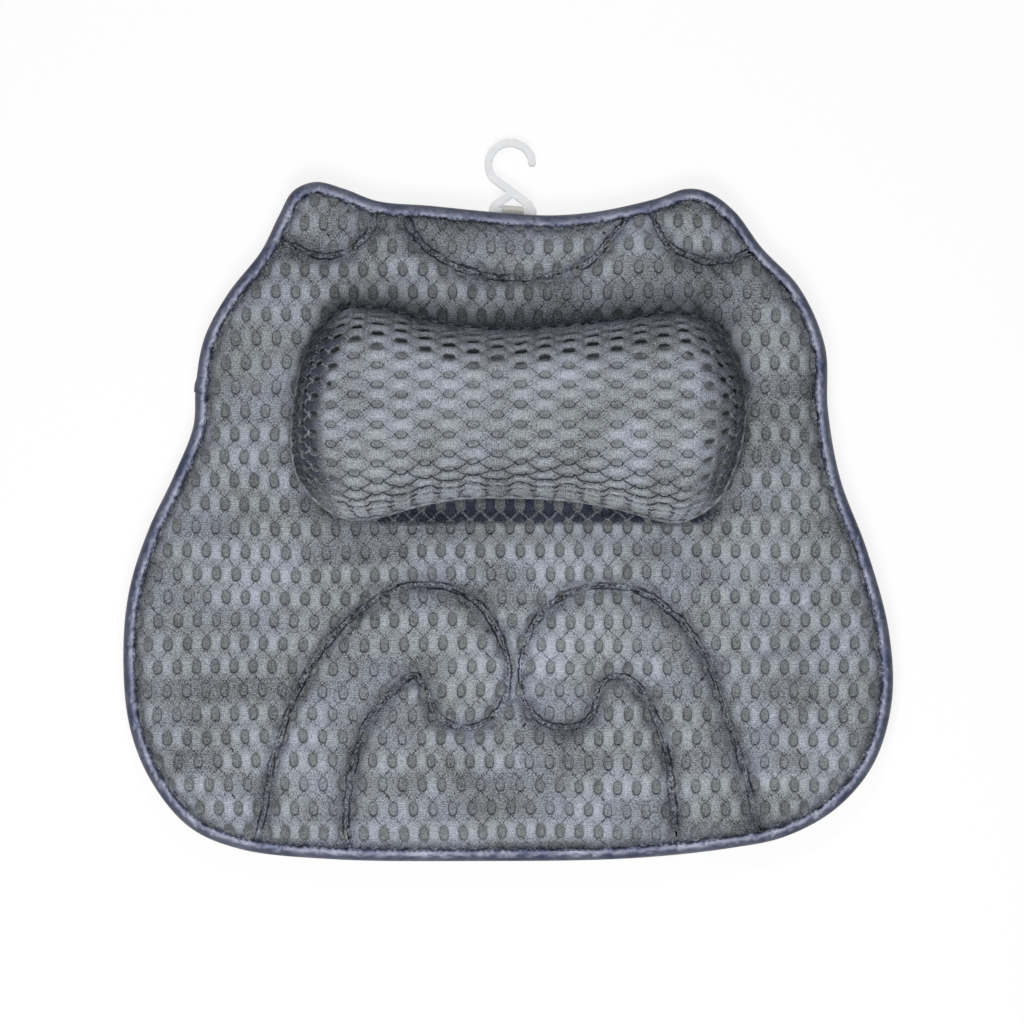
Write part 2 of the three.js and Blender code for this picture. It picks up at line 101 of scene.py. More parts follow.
seamShares = {
    "leftEar": [
        (-0.304, 0.42), (-0.274, 0.401), (-0.237, 0.39), (-0.209, 0.397), (-0.189, 0.413), (-0.176, 0.434),
        (-0.17, 0.464),
    ],
    "rightEar": [
        (0.184, 0.466), (0.201, 0.416), (0.222, 0.397), (0.249, 0.385), (0.278, 0.382), (0.304, 0.391),
        (0.327, 0.406),
    ],
    "crescent": [
        (-0.14, 0.462), (-0.115, 0.412), (-0.089, 0.388), (-0.05, 0.367), (0.006, 0.357), (0.062, 0.363),
        (0.106, 0.382), (0.128, 0.409), (0.148, 0.437), (0.159, 0.458),
    ],
    "leftHorn": [
        (-0.328, -0.474), (-0.317, -0.429), (-0.31, -0.375), (-0.291, -0.3), (-0.257, -0.214),
        (-0.197, -0.135), (-0.123, -0.094), (-0.059, -0.105), (-0.018, -0.151), (0, -0.219),
        (-0.013, -0.28), (-0.055, -0.304), (-0.092, -0.284), (-0.107, -0.243), (-0.122, -0.226),
        (-0.145, -0.244), (-0.185, -0.3), (-0.202, -0.367), (-0.21, -0.426), (-0.206, -0.484),
    ],
    "rightHorn": [
        (0.332, -0.464), (0.321, -0.438), (0.311, -0.382), (0.293, -0.32), (0.259, -0.205), (0.217, -0.138),
        (0.162, -0.1), (0.106, -0.096), (0.051, -0.126), (0.021, -0.186), (0.02, -0.25), (0.038, -0.29),
        (0.079, -0.303), (0.11, -0.284), (0.117, -0.25), (0.128, -0.231), (0.148, -0.229),
        (0.171, -0.244), (0.192, -0.291), (0.207, -0.348), (0.213, -0.404), (0.22, -0.476),
    ],
}

# The head pillow. Its outline is shares of its own width and height from its middle.
pillow = {
    "width": 271,
    "height": 129.4,
    "centreX": 6.2,
    "centreY": 63.5,
    "spineHalf": 84,
    "seam": 40.2,
    "under": 26.3,
    "dome": 43.6,
    "power": 2.6,
    "weltRadius": 1.1,
}
pillowSize = np.array([pillow["width"], pillow["height"]])
pillowMiddle = np.array([pillow["centreX"], pillow["centreY"]])
pillowShares = [
    (0, 0.4), (-0.085, 0.405), (-0.172, 0.428), (-0.281, 0.484), (-0.364, 0.5), (-0.412, 0.451),
    (-0.445, 0.367), (-0.474, 0.251), (-0.494, 0.065), (-0.5, -0.126), (-0.487, -0.284), (-0.441, -0.409),
    (-0.373, -0.484), (-0.303, -0.474), (-0.216, -0.423), (-0.129, -0.391), (-0.009, -0.386),
    (0.111, -0.4), (0.216, -0.437), (0.297, -0.484), (0.352, -0.498), (0.4, -0.46), (0.443, -0.386),
    (0.478, -0.237), (0.496, -0.084), (0.5, 0.065), (0.48, 0.228), (0.445, 0.367), (0.395, 0.451),
    (0.33, 0.474), (0.275, 0.46), (0.188, 0.437), (0.09, 0.414),
]

# The pad's middle in the frame, from the two upper cups that stand either side of it.
upperCups = np.array([np.mean(boxOf(f"suction_cup_{k}"), axis=0) for k in (1, 2)])
padMiddle = upperCups[:, :2].mean(axis=0) - np.array([0, pad["cupShare"] * pad["height"]])


def smoothLine(points, closed, steps=24):  # a centripetal curve through the points
    points = np.asarray(points, float)
    if closed:
        chain = np.vstack([points[-1:], points, points[:2]])
    else:
        chain = np.vstack([2 * points[0] - points[1], points, 2 * points[-1] - points[-2]])
    share = np.linspace(0, 1, steps, endpoint=False)[:, None]
    made = []
    for a, b, c, d in zip(chain, chain[1:], chain[2:], chain[3:]):
        before, span, after = (math.sqrt(math.dist(p, q)) for p, q in ((a, b), (b, c), (c, d)))
        leaving = span * ((b - a) / before - (c - a) / (before + span) + (c - b) / span)
        arriving = span * ((c - b) / span - (d - b) / (span + after) + (d - c) / after)
        made.append(
            b + leaving * share + (3 * (c - b) - 2 * leaving - arriving) * share**2
            + (2 * (b - c) + leaving + arriving) * share**3
        )
    return np.vstack(made + ([] if closed else [points[-1:]]))


def railOf(points, closed, step=0.6):  # an evenly spaced line, with its length so far and its left-hand side
    line = smoothLine(points, closed)
    if closed:
        line = np.vstack([line, line[:1]])
    run = np.concatenate([[0], np.cumsum(np.linalg.norm(np.diff(line, axis=0), axis=1))])
    count = max(8, round(run[-1] / step))
    along = np.linspace(0, run[-1], count, endpoint=not closed)
    places = np.column_stack([np.interp(along, run, line[:, k]) for k in (0, 1)])
    if closed:
        ahead = np.roll(places, -1, axis=0) - np.roll(places, 1, axis=0)
    else:
        ahead = np.gradient(places, axis=0)
    ahead /= np.linalg.norm(ahead, axis=1)[:, None]
    left = np.column_stack([-ahead[:, 1], ahead[:, 0]])
    tree = kdtree.KDTree(len(places))
    for k, place in enumerate(places):
        tree.insert((place[0], place[1], 0), k)
    tree.balance()
    return {"at": places, "along": along, "left": left, "ahead": ahead, "length": run[-1], "tree": tree}


def stationsNear(rail, places):
    return [rail["tree"].find((x, y, 0))[1] for x, y in places]


def nearest(rail, places):  # how far each place lies to the rail's left, how far along, and how far away
    found = stationsNear(rail, places)
    offset = places - rail["at"][found]
    across = (offset * rail["left"][found]).sum(axis=1)
    along = rail["along"][found] + (offset * rail["ahead"][found]).sum(axis=1)
    return across, along, np.linalg.norm(offset, axis=1)


def onRail(rail, along, inset):  # the points at these lengths along a closed rail, moved to its left
    share = np.mod(along, rail["length"])
    ring = np.append(rail["along"], rail["length"])
    mix = [
        np.column_stack([np.interp(share, ring, np.append(rail[key][:, k], rail[key][0, k])) for k in (0, 1)])
        for key in ("at", "left")
    ]
    return mix[0] + mix[1] * np.reshape(inset, (-1, 1))


outline = railOf(np.array(outlineShares) * padSize, True)
seams = {name: railOf(np.array(shares) * padSize, False) for name, shares in seamShares.items()}
pillowRail = railOf(np.array(pillowShares) * pillowSize + pillowMiddle, True)


def waves(places, size, seed, count=18):  # smooth uneven ripples between about -1 and 1, size = wavelengths
    draw = np.random.RandomState(seed)
    angle = draw.uniform(0, 2 * np.pi, count)
    stretch = draw.uniform(0.6, 1.5, count)
    phase = draw.uniform(0, 2 * np.pi, count)
    turns = np.column_stack([np.cos(angle), np.sin(angle)]) * stretch[:, None]
    scaled = places / np.asarray(size, float)
    return np.sin(2 * np.pi * scaled @ turns.T + phase).sum(axis=1) / math.sqrt(count)


def smooth(value, low, high):  # 0 below low, 1 above high, an even S between
    share = np.clip((value - low) / (high - low), 0, 1)
    return share * share * (3 - 2 * share)


# Points are round the pad's middle; the kept values are for the materials.
def meshPiece(name, points, faces, fabricUv=None, middle=padMiddle, **kept):
    mesh = bpy.data.meshes.new(name)
    moved = np.array(points, float)
    moved[:, :2] += middle
    mesh.from_pydata((moved * mm).tolist(), [], [list(map(int, face)) for face in faces])
    if fabricUv is not None:
        layer = mesh.uv_layers.new(name="fabric")
        corner = np.zeros(len(mesh.loops), np.int32)
        mesh.loops.foreach_get("vertex_index", corner)
        layer.data.foreach_set("uv", np.asarray(fabricUv, np.float32)[corner].ravel())
    mesh.validate()
    mesh.update()
    piece = bpy.data.objects.new(name, mesh)
    bpy.context.scene.collection.objects.link(piece)
    shape = bmesh.new()
    shape.from_mesh(mesh)
    bmesh.ops.recalc_face_normals(shape, faces=shape.faces)
    shape.to_mesh(mesh)
    shape.free()
    for key, values in kept.items():
        layer = mesh.attributes.new(key, "FLOAT", "POINT")
        layer.data.foreach_set("value", np.asarray(values, float))
    mesh.shade_smooth()
    return piece


# The air mesh: a knit with oval dimples in staggered rows.
airMesh = {
    "pitch": 11.7,  # from one oval to the next in a row
    "rowPitch": 14.0,
    "ovalHalfWidth": 2.75,
    "ovalHalfHeight": 4.35,
    "dimple": 1.0,
    "puff": 0.35,
    "padShift": (-209.1, -87.2),  # the middle of one oval on the pad, from the pad's middle
    "pillowShift": (1.5, 5.1),  # and on the pillow, from the pillow's middle
}
cellSize = np.array([airMesh["pitch"], airMesh["rowPitch"]])


def bandFaces(bands, count, rings=None):  # the faces between closed rings of this many points
    rings = rings or bands + 1
    faces = []
    for r in range(bands):
        here, there = r * count, (r + 1) % rings * count
        for k in range(count):
            after = (k + 1) % count
            faces.append((here + k, here + after, there + after, there + k))
    return faces


# One cell round an oval: its border and the rings of its dimple, with each point's share of the depth.
def latticeCell(across=8, up=4, rings=((1.12, 0), (0.9, 0.62), (0.62, 1))):
    halfX, halfY = cellSize / 2
    xs, ys = np.linspace(-halfX, halfX, across + 1), np.linspace(-halfY, halfY, up + 1)
    border = (
        [(x, -halfY) for x in xs[:-1]] + [(halfX, y) for y in ys[:-1]]
        + [(x, halfY) for x in xs[:0:-1]] + [(-halfX, y) for y in ys[:0:-1]]
    )
    border = np.array(border)
    turn = np.arctan2(border[:, 1] / halfY, border[:, 0] / halfX)
    rim = np.column_stack([airMesh["ovalHalfWidth"] * np.cos(turn), airMesh["ovalHalfHeight"] * np.sin(turn)])
    points = np.vstack([border] + [rim * share for share, _ in rings] + [np.zeros((1, 2))])
    count = len(border)
    depth = np.concatenate([np.zeros(count)] + [np.full(count, sunk) for _, sunk in rings] + [[0.85]])
    faces = bandFaces(len(rings), count)
    middle = len(points) - 1
    faces += [(middle - count + k, middle - count + (k + 1) % count, middle) for k in range(count)]
    return points, depth, faces


# The cells between two corners whose middles are wanted, with their shared border points merged.
def latticeSheet(low, high, shift, isWanted):
    points, depth, faces = latticeCell()
    firstRow, lastRow = (math.floor((v - shift[1]) / cellSize[1]) for v in (low[1], high[1] + cellSize[1]))
    ends = (low[0], high[0] + 2 * cellSize[0])
    firstCell, lastCell = (math.floor((v - shift[0]) / cellSize[0]) - 1 for v in ends)
    middles = np.array([
        ((cell + 0.5 * (row % 2)) * cellSize[0], row * cellSize[1])
        for row in range(firstRow, lastRow + 1)
        for cell in range(firstCell, lastCell + 1)
    ])
    middles = middles[isWanted(middles + shift)]
    every = (middles[:, None, :] + points[None]).reshape(-1, 2)
    keys = np.round(every * 100).astype(np.int64)
    _, first, same = np.unique(keys, axis=0, return_index=True, return_inverse=True)
    same = same.reshape(-1)
    flat = every[first]
    sunk = np.tile(depth, len(middles))[first]
    corners = [
        tuple(same[cell * len(points) + np.array(face)])
        for cell in range(len(middles))
        for face in faces
    ]
    return flat, sunk, corners


def renumbered(flat, sunk, faces):  # drops the points that no face uses
    used = np.unique(np.concatenate([np.array(face) for face in faces]))
    fresh = np.full(len(flat), -1)
    fresh[used] = np.arange(len(used))
    return flat[used], sunk[used], [tuple(fresh[list(face)]) for face in faces], used


def openEdges(faces):  # the directed edges that only one face has
    edges = {(a, b) for face in faces for a, b in zip(face, face[1:] + face[:1])}
    return [(a, b) for a, b in edges if (b, a) not in edges]


def openLoops(faces):  # the point loops along open edges, longest first
    following = dict(sorted(openEdges(faces)))
    loops = []
    while following:
        start, at = following.popitem()
        loop = [start]
        while at != start and at in following:
            loop.append(at)
            at = following.pop(at)
        loops.append(loop)
    return sorted(loops, key=len, reverse=True)


def withoutPinches(faces):  # drops faces until no point has more than one open edge ahead of it
    while True:
        seen, pinched = set(), set()
        for start, _ in openEdges(faces):
            (pinched if start in seen else seen).add(start)
        if not pinched:
            return faces
        faces = [face for face in faces if not pinched & set(face)]


def largestSheet(faces, count):  # only the faces joined to the largest sheet
    parent = np.arange(count)

    def rootOf(k):
        while parent[k] != k:
            parent[k] = parent[parent[k]]
            k = parent[k]
        return k

    for face in faces:
        first = rootOf(face[0])
        for corner in face[1:]:
            parent[rootOf(corner)] = first
    roots = np.array([rootOf(face[0]) for face in faces])
    values, counts = np.unique(roots, return_counts=True)
    main = values[np.argmax(counts)]
    return [face for face, root in zip(faces, roots) if root == main]


def trimmed(flat, sunk, faces, inside):  # the sheet cut to where most of each face's points are inside
    kept = [face for face in faces if np.mean(inside[list(face)]) > 0]
    kept = largestSheet(withoutPinches(largestSheet(kept, len(flat))), len(flat))
    return renumbered(flat, sunk, kept)


# Edges beside seams are halved, so that their folds are sharp.
def refined(flat, places, sunk, faces, isNear):
    shape = bmesh.new()
    knitLayer = shape.verts.layers.float_vector.new("knit")
    verts = [shape.verts.new((x, y, 0)) for x, y in places]
    for vert, (u, v), depth in zip(verts, flat, sunk):
        vert[knitLayer] = (u, v, depth)
    for face in faces:
        shape.faces.new([verts[k] for k in face])
    shape.verts.index_update()
    edges = [edge for edge in shape.edges if isNear[edge.verts[0].index] and isNear[edge.verts[1].index]]
    bmesh.ops.subdivide_edges(shape, edges=edges, cuts=1, use_grid_fill=True)
    shape.verts.index_update()
    knitted = np.array([tuple(vert[knitLayer]) for vert in shape.verts])
    placed = np.array([tuple(vert.co)[:2] for vert in shape.verts])
    corners = [tuple(vert.index for vert in face.verts) for face in shape.faces]
    shape.free()
    return knitted[:, :2], placed, knitted[:, 2], corners


# The quilting: each seam draws the mesh down, and the mesh puffs up and puckers beside it.
quilt = {
    "edgeInset": 2.4,  # the face's cut edge, inside the pad's
    "coreInset": 11.0,  # where its underside rises to take the core
    "fieldFrom": (7, 12),  # where the quilted field starts, and is full
    "dimpledFrom": (6.5, 10),
    "dimpledBeside": (0.8, 3.5),  # the same beside a seam
    "edgeRise": 3.4,
    "hemDrop": 1.6,
    "hemReach": 1.5,
    "grooveDepth": 3.6,
    "grooveHalfWidth": 3.8,
    "grooveLean": 0.42,  # the knit hangs into a seam more gently from below it
    "sinkDepth": 1.3,
    "sinkHalfWidth": 12.0,
    "puckerDepth": 0.95,
    "puckerLength": 6.5,
    "puckerReach": 6.0,
    "creaseDepth": 1.3,
    "creaseAway": 2.0,
    "creaseHalfWidth": 0.75,
    "swell": 0.75,
    "swellLength": (90, 24),
    "drawnIn": 1.0,
    "seamWander": 0.6,
    "hemGather": 0.55,  # how far the ovals close up beside the binding
    "pillowShadowEdge": -1.5,  # the lower edge of the painted shadow below the pillow, from the pad's middle
    "pillowShadowEnds": (-88, 130),
}


def ripplesAlong(along, seed, length):  # uneven ripples along one line
    places = np.column_stack([along, np.zeros(len(along))])
    return waves(places, (length, length), seed, 10)


def seamFields(places):  # how far the nearest seam is, its side, where along it, and how far below it
    best = np.full(len(places), 1e3)
    side = np.zeros(len(places))
    run = np.zeros(len(places))
    below = np.zeros(len(places))
    for k, name in enumerate(seams):
        across, along, away = nearest(seams[name], places)
        nearer = away < best
        best[nearer] = away[nearer]
        side[nearer] = np.sign(across[nearer])
        run[nearer] = (along + 1000 * k)[nearer]
        leftUp = np.interp(along, seams[name]["along"], seams[name]["left"][:, 1])
        below[nearer] = (-np.sign(across) * leftUp)[nearer]
    return best, side, run, below


# The quilted face above its sewn edge, at places that lie this far inside the edge.
def quiltRelief(places, inset, seed):
    away, side, run, below = seamFields(places)
    loft = pad["top"] - pad["edgeTop"]
    inHem = np.clip(inset - pad["flange"], 0, None)
    rise = 1 - np.exp(-(inHem / quilt["edgeRise"]))
    pucker = ripplesAlong(run + 300 * side, seed, quilt["puckerLength"])
    pucker *= np.exp(-((away / quilt["puckerReach"]) ** 2))
    hemRun = nearest(outline, places)[1]
    hemPucker = ripplesAlong(hemRun, seed + 1, quilt["puckerLength"])
    hemPucker *= np.exp(-((inHem / quilt["puckerReach"]) ** 2))
    uneven = 0.88 + 0.16 * ripplesAlong(run, seed + 3, 11)
    grooveReach = quilt["grooveHalfWidth"] * (1 + quilt["grooveLean"] * below)
    groove = quilt["grooveDepth"] * np.exp(-away / grooveReach) * uneven
    sink = quilt["sinkDepth"] * np.exp(-((away / quilt["sinkHalfWidth"]) ** 2))
    wander = quilt["seamWander"] * ripplesAlong(run, seed + 6, 13)
    creaseAt = quilt["creaseAway"] + 0.55 * ripplesAlong(run + 500 * side, seed + 4, 9) + side * wander
    creaseShows = 0.45 + 0.55 * smooth(ripplesAlong(run + 500 * side, seed + 5, 16), -0.9, 0.5)
    crease = np.exp(-(((away - creaseAt) / quilt["creaseHalfWidth"]) ** 2)) * creaseShows
    swell = quilt["swell"] * waves(places, quilt["swellLength"], seed + 2)
    inField = smooth(inset, *quilt["fieldFrom"])
    relief = loft * rise - (groove + sink + quilt["creaseDepth"] * crease) * inField
    relief -= quilt["hemDrop"] * np.exp(-inHem / quilt["hemReach"])
    relief += quilt["puckerDepth"] * (pucker * inField + hemPucker)
    relief += swell * smooth(inset, 10, 45) * smooth(away, 2, 12)
    return relief, away, run, below, crease


# How dark the knit is painted beside each seam, along the hem, along the pillow's edge and in the pillow's
# shadow below it, and how far that reaches. This is painted shade, with a part of the seams' darkness from
# knit drawn together by stitches.
drawnAndShading = {
    "crease": 0.3,
    "besideSeam": 0.38,
    "seamReach": 5.2,
    "seamReachBelow": 2.6,  # the painted shade reaches more than that below a seam, less above it
    "hemReach": 1.5,
    "hemFaint": 0.2,
    "hemFaintReach": 22,
    "pillowShadow": 0.87,
    "besidePillow": 0.25,
    "abovePillow": 0.6,
    "pillowReach": 2.6,
}


# How dark the knit is painted, 0 to 1: painted shade in the seams' creases and grooves, the hem's gutter,
# along the pillow and in its shadow below it, with a part of the seams' darkness from knit drawn together by
# stitches.
def drawnTogether(places, inset, away, run, below, crease):
    uneven = 0.75 + 0.35 * waves(places, (9, 9), 301, 24)
    stitched = 0.75 + 0.3 * ripplesAlong(run, 305, 5.5)
    patchy = 0.8 + 0.35 * waves(places, (3.2, 3.2), 307, 24)
    slack = 0.7 + 0.45 * ripplesAlong(run, 311, 24)
    # Beside a seam the knit is painted darker: partly knit drawn together, partly painted shade in the
    # groove, reaching further below a seam than above it.
    seamReach = drawnAndShading["seamReach"] + drawnAndShading["seamReachBelow"] * below
    besideSeam = np.clip(drawnAndShading["besideSeam"] * slack, 0.1, 0.6) * np.exp(-((away / seamReach) ** 2))
    seam = (drawnAndShading["crease"] * crease * stitched + besideSeam) * uneven
    # Painted shade in the gutter under the binding's inner edge, and a faint darkening within about 22 mm of
    # the edge.
    inHem = np.clip(inset - tape["width"], 0, None)
    hem = np.exp(-((inHem / (drawnAndShading["hemReach"] + 0.9 * uneven)) ** 1.6)) * np.clip(patchy, 0.3, 1)
    hem += drawnAndShading["hemFaint"] * np.exp(-((inset / drawnAndShading["hemFaintReach"]) ** 2))
    # Painted shadow: a dark band on the knit below the pillow's lower edge, with a sharp lower edge.
    across = nearest(pillowRail, places)[0]
    isBelow = (across < 1) & (places[:, 1] < pillow["centreY"])
    ends = smooth(places[:, 0], quilt["pillowShadowEnds"][0], quilt["pillowShadowEnds"][0] + 12)
    ends *= 1 - smooth(places[:, 0], quilt["pillowShadowEnds"][1] - 12, quilt["pillowShadowEnds"][1])
    lower = quilt["pillowShadowEdge"] + 0.5 * waves(places, (16, 1e6), 303, 8)
    pillowShadow = isBelow * ends * smooth(places[:, 1], lower - 0.8, lower + 0.8)
    pillowShadow *= drawnAndShading["pillowShadow"] + 0.1 * uneven
    # Painted shade along the pillow's edge, strongest above it, fading away from it.
    above = smooth(places[:, 1] - pillow["centreY"], 10, 30)
    besidePillow = drawnAndShading["besidePillow"] + drawnAndShading["abovePillow"] * above
    besidePillow *= np.exp(-np.clip(-across, 0, None) / drawnAndShading["pillowReach"])
    either = 1 - (1 - np.clip(seam, 0, 0.95)) * (1 - np.clip(hem, 0, 0.95)) * (1 - pillowShadow) * (1 - besidePillow)
    return np.clip(either, 0, 1)


def drawnToSeams(places, away):  # the points beside a seam slide onto its line, so that the fold is sharp
    moved = places.copy()
    for name in seams:
        across, along, reach = nearest(seams[name], places)
        near = (reach < quilt["drawnIn"]) & (reach <= away + 1e-6)
        if near.any():
            moved[near] = seams[name]["at"][stationsNear(seams[name], places[near])]
    return moved


# The air mesh cut to the pad's outline: its lattice places, its places on the pad, and its faces.
def quiltedSheet(edgeInset, seed, isFine=False):
    reach = padSize / 2 + 12
    shift = np.array(airMesh["padShift"])
    flat, sunk, faces = latticeSheet(-reach, reach, shift, lambda at: nearest(outline, at)[0] > -9)

    def placesOf(flat):
        return flat + shift + 0.9 * np.column_stack([
            waves(flat, (150, 110), seed + 5, 8), waves(flat, (130, 120), seed + 6, 8)
        ])

    inset = nearest(outline, placesOf(flat))[0]
    flat, sunk, faces, _ = trimmed(flat, sunk, faces, np.where(inset > edgeInset, 1.0, -1.0))
    places = placesOf(flat)
    if isFine:
        near = (seamFields(places)[0] < 8) | (nearest(outline, places)[0] < 12)
        flat, places, sunk, faces = refined(flat, places, sunk, faces, near)
    inset, along, _ = nearest(outline, places)
    loops = openLoops(faces)
    rim = loops[0]
    for hole in loops[1:]:  # a hole beside the rim is closed
        faces.append(tuple(hole[::-1]))
    places[rim] = onRail(outline, along[rim], edgeInset)
    outside = np.setdiff1d(np.where(inset < edgeInset)[0], rim)
    places[outside] = onRail(outline, along[outside], edgeInset + 0.4)
    inset = nearest(outline, places)[0]
    print("sheet", len(faces), "faces", len(rim), "on the rim", len(loops) - 1, "holes closed")
    return flat, places, inset, sunk, faces, rim


def closedBy(points, faces, rim, rings):  # walls from a sheet's rim through these rings, and a floor
    faces, loop, start = list(faces), rim, len(points)
    for ring in rings:
        fresh = list(range(start, start + len(rim)))
        faces += [(loop[k], loop[k - 1], fresh[k - 1], fresh[k]) for k in range(len(rim))]
        loop, start = fresh, start + len(ring)
    faces.append(tuple(loop))
    return np.vstack([points, *rings]), faces


def closedUnder(points, faces, rim, levels, rail):  # the same for a sheet that follows a rail
    along = nearest(rail, points[rim, :2])[1]
    rings = [
        np.column_stack([onRail(rail, along, inset), np.full(len(rim), level)]) for inset, level in levels
    ]
    return closedBy(points, faces, rim, rings)


# The padded faces are settled as cloth: a coarse sheet a little too big for its place, held where it is
# sewn, blown up by the filling. Lengths are in centimetres there, the size that Blender's cloth is tuned for.
settling = {
    "padStep": 3.4,
    "coverStep": 3.6,
    "frames": 20,
    "pressure": 0.6,
    "extra": 0.022,
    "hold": 0.45,
    "heldHem": 8,
    "heldSeam": 2.4,
    "heldPillow": 3,  # the face is held this far inside the pillow's outline
    "heldWelt": 2.5,
    "full": 4.0,  # a face this much raised counts as full
    "hollow": 1.5,  # how much lower the least full places lie
    "most": 1.6,  # the highest crease beside its surroundings
    "stronger": 1.5,
    # painted shade: how much darker the hollows between the settled cloth's creases are painted
    "valleyShade": 0.26,
}


def settled(name, rest, hold):  # how far each node of the grid moves; hold is 1 where it is sewn
    moved = np.zeros(rest.shape)
    rows, columns = hold.shape
    index = np.arange(rows * columns).reshape(rows, columns)
    corners = np.stack([index[:-1, :-1], index[:-1, 1:], index[1:, 1:], index[1:, :-1]], axis=-1)
    corners = corners.reshape(-1, 4)
    isLoose = (hold.ravel()[corners] < 1).any(axis=1)
    mesh = bpy.data.meshes.new(name)
    start = rest.reshape(-1, 3) / 10
    mesh.from_pydata(start.tolist(), [], corners[isLoose].tolist())
    sheet = bpy.data.objects.new(name, mesh)
    bpy.context.scene.collection.objects.link(sheet)
    sewn = sheet.vertex_groups.new(name="sewn")
    for k, share in enumerate(hold.ravel()):
        sewn.add([k], float(share), "REPLACE")
    cloth = sheet.modifiers.new("cloth", "CLOTH")
    cloth.settings.quality = 6
    cloth.settings.mass = 0.3
    cloth.settings.vertex_group_mass = "sewn"
    cloth.settings.tension_stiffness = 20
    cloth.settings.compression_stiffness = 20
    cloth.settings.shear_stiffness = 8
    cloth.settings.bending_stiffness = 0.3
    cloth.settings.use_pressure = True
    cloth.settings.uniform_pressure_force = settling["pressure"]
    cloth.settings.shrink_min = -settling["extra"]
    cloth.settings.effector_weights.gravity = 0
    cloth.collision_settings.use_collision = False
    cloth.point_cache.frame_start = 1
    cloth.point_cache.frame_end = settling["frames"]
    for frame in range(1, settling["frames"] + 1):
        bpy.context.scene.frame_set(frame)
    shape = sheet.evaluated_get(bpy.context.evaluated_depsgraph_get()).data
    ends = np.zeros(len(shape.vertices) * 3, np.float32)
    shape.vertices.foreach_get("co", ends)
    moved = ((ends.reshape(-1, 3) - start) * 10).reshape(rest.shape)
    bpy.data.objects.remove(sheet, do_unlink=True)
    bpy.context.scene.frame_set(1)
    print(name, "settled, moved up to", np.round(np.abs(moved).max(axis=(0, 1)), 2), "mm")
    return moved


def sampled(field, low, step, places):  # the field of a grid at places between its nodes
    spot = np.clip((places - low) / step, 0, np.array(field.shape[1::-1]) - 1.001)
    column, row = spot.astype(int).T
    partX, partY = (spot - spot.astype(int)).T
    if field.ndim == 3:
        partX, partY = partX[:, None], partY[:, None]
    lower = field[row, column] * (1 - partX) + field[row, column + 1] * partX
    upper = field[row + 1, column] * (1 - partX) + field[row + 1, column + 1] * partX
    return lower * (1 - partY) + upper * partY


def gridOf(reach, step):
    count = np.ceil(2 * reach / step).astype(int) + 1
    low = -(count - 1) * step / 2
    x, y = np.meshgrid(low[0] + np.arange(count[0]) * step, low[1] + np.arange(count[1]) * step)
    return low, np.column_stack([x.ravel(), y.ravel()]), x.shape


def softened(field, times):
    for _ in range(times):
        for axis in (0, 1):
            field = (np.roll(field, 1, axis) + 2 * field + np.roll(field, -1, axis)) / 4
    return field


def creasesOf(field):  # what is left of the field without its broad swell, kept below the most
    fine = settling["stronger"] * (field - softened(field, 14))
    size = np.abs(fine) if fine.ndim == 2 else np.linalg.norm(fine, axis=2)[:, :, None]
    return fine * settling["most"] * np.tanh(size / settling["most"]) / np.maximum(size, 1e-9)


def quiltFullness():  # the height that the padded face gains between its seams
    low, nodes, shape = gridOf(padSize / 2 + 6, settling["padStep"])
    inset = nearest(outline, nodes)[0]
    away = seamFields(nodes)[0]
    beside = nearest(pillowRail, nodes)[0]
    isSewn = (inset < settling["heldHem"]) | (away < settling["heldSeam"])
    isSewn |= beside > settling["heldPillow"]
    hold = np.where(isSewn, 1.0, settling["hold"]).reshape(shape)
    rest = np.column_stack([nodes, 0.25 * waves(nodes, (24, 16), 91, 24)]).reshape(*shape, 3)
    rise = settled("quiltSheet", rest, hold)[:, :, 2]
    hollow = settling["hollow"] * (1 - np.clip(softened(rise, 2) / settling["full"], 0, 1)) * (rise.max() > 0)
    return creasesOf(rise) - hollow, low


def makeFrontPanel():
    flat, places, inset, sunk, faces, rim = quiltedSheet(quilt["edgeInset"], 11, isFine=True)
    away, side, _, _ = seamFields(places)
    places = drawnToSeams(places, away)
    relief, away, run, below, crease = quiltRelief(places, inset, 21)
    drawn = drawnTogether(places, inset, away, run, below, crease)
    ease = smooth(away, *quilt["dimpledBeside"]) * smooth(inset, *quilt["dimpledFrom"])
    between = np.cos(2 * np.pi * (flat[:, 0] / cellSize[0] + 0.5 * np.round(flat[:, 1] / cellSize[1])))
    fullness, low = quiltFullness()
    fullness = sampled(fullness, low, settling["padStep"], places) * smooth(inset, *quilt["fieldFrom"])
    relief += fullness
    # Painted shade: the hollows of the settled cloth are painted darker.
    drawn = np.clip(drawn + settling["valleyShade"] * smooth(-fullness, 0.1, 1.6), 0, 1)
    height = pad["edgeTop"] + relief - ease * (airMesh["dimple"] * sunk + airMesh["puff"] * between)
    height = np.maximum(height, pad["under"] + 0.2)
    height[inset < pad["flange"]] = pad["edgeTop"] + relief[inset < pad["flange"]]
    points = np.column_stack([places, height])
    edge, core = quilt["edgeInset"], quilt["coreInset"]
    under = [(edge, pad["edgeUnder"]), (core, pad["edgeUnder"]), (core + 0.4, pad["under"])]
    points, faces = closedUnder(points, faces, rim, under, outline)
    uv = np.vstack([flat / cellSize] + [(flat / cellSize)[rim]] * len(under))
    drawn = np.concatenate([drawn] + [drawn[rim]] * len(under))
    seamAway = np.concatenate([np.minimum(away, 9), np.zeros(len(rim) * len(under))])
    stretched = quilt["hemGather"] * smooth(inset, 13, 7) * (0.75 + 0.25 * waves(places, (14, 14), 309, 24))
    gathered = np.concatenate([np.clip(stretched, 0, 1), np.zeros(len(rim) * len(under))])
    seamSide = np.concatenate([side, np.zeros(len(rim) * len(under))])
    kept = {"drawn": drawn, "seamAway": seamAway, "seamSide": seamSide, "gathered": gathered}
    return meshPiece("frontPanel", points, faces, uv, **kept)


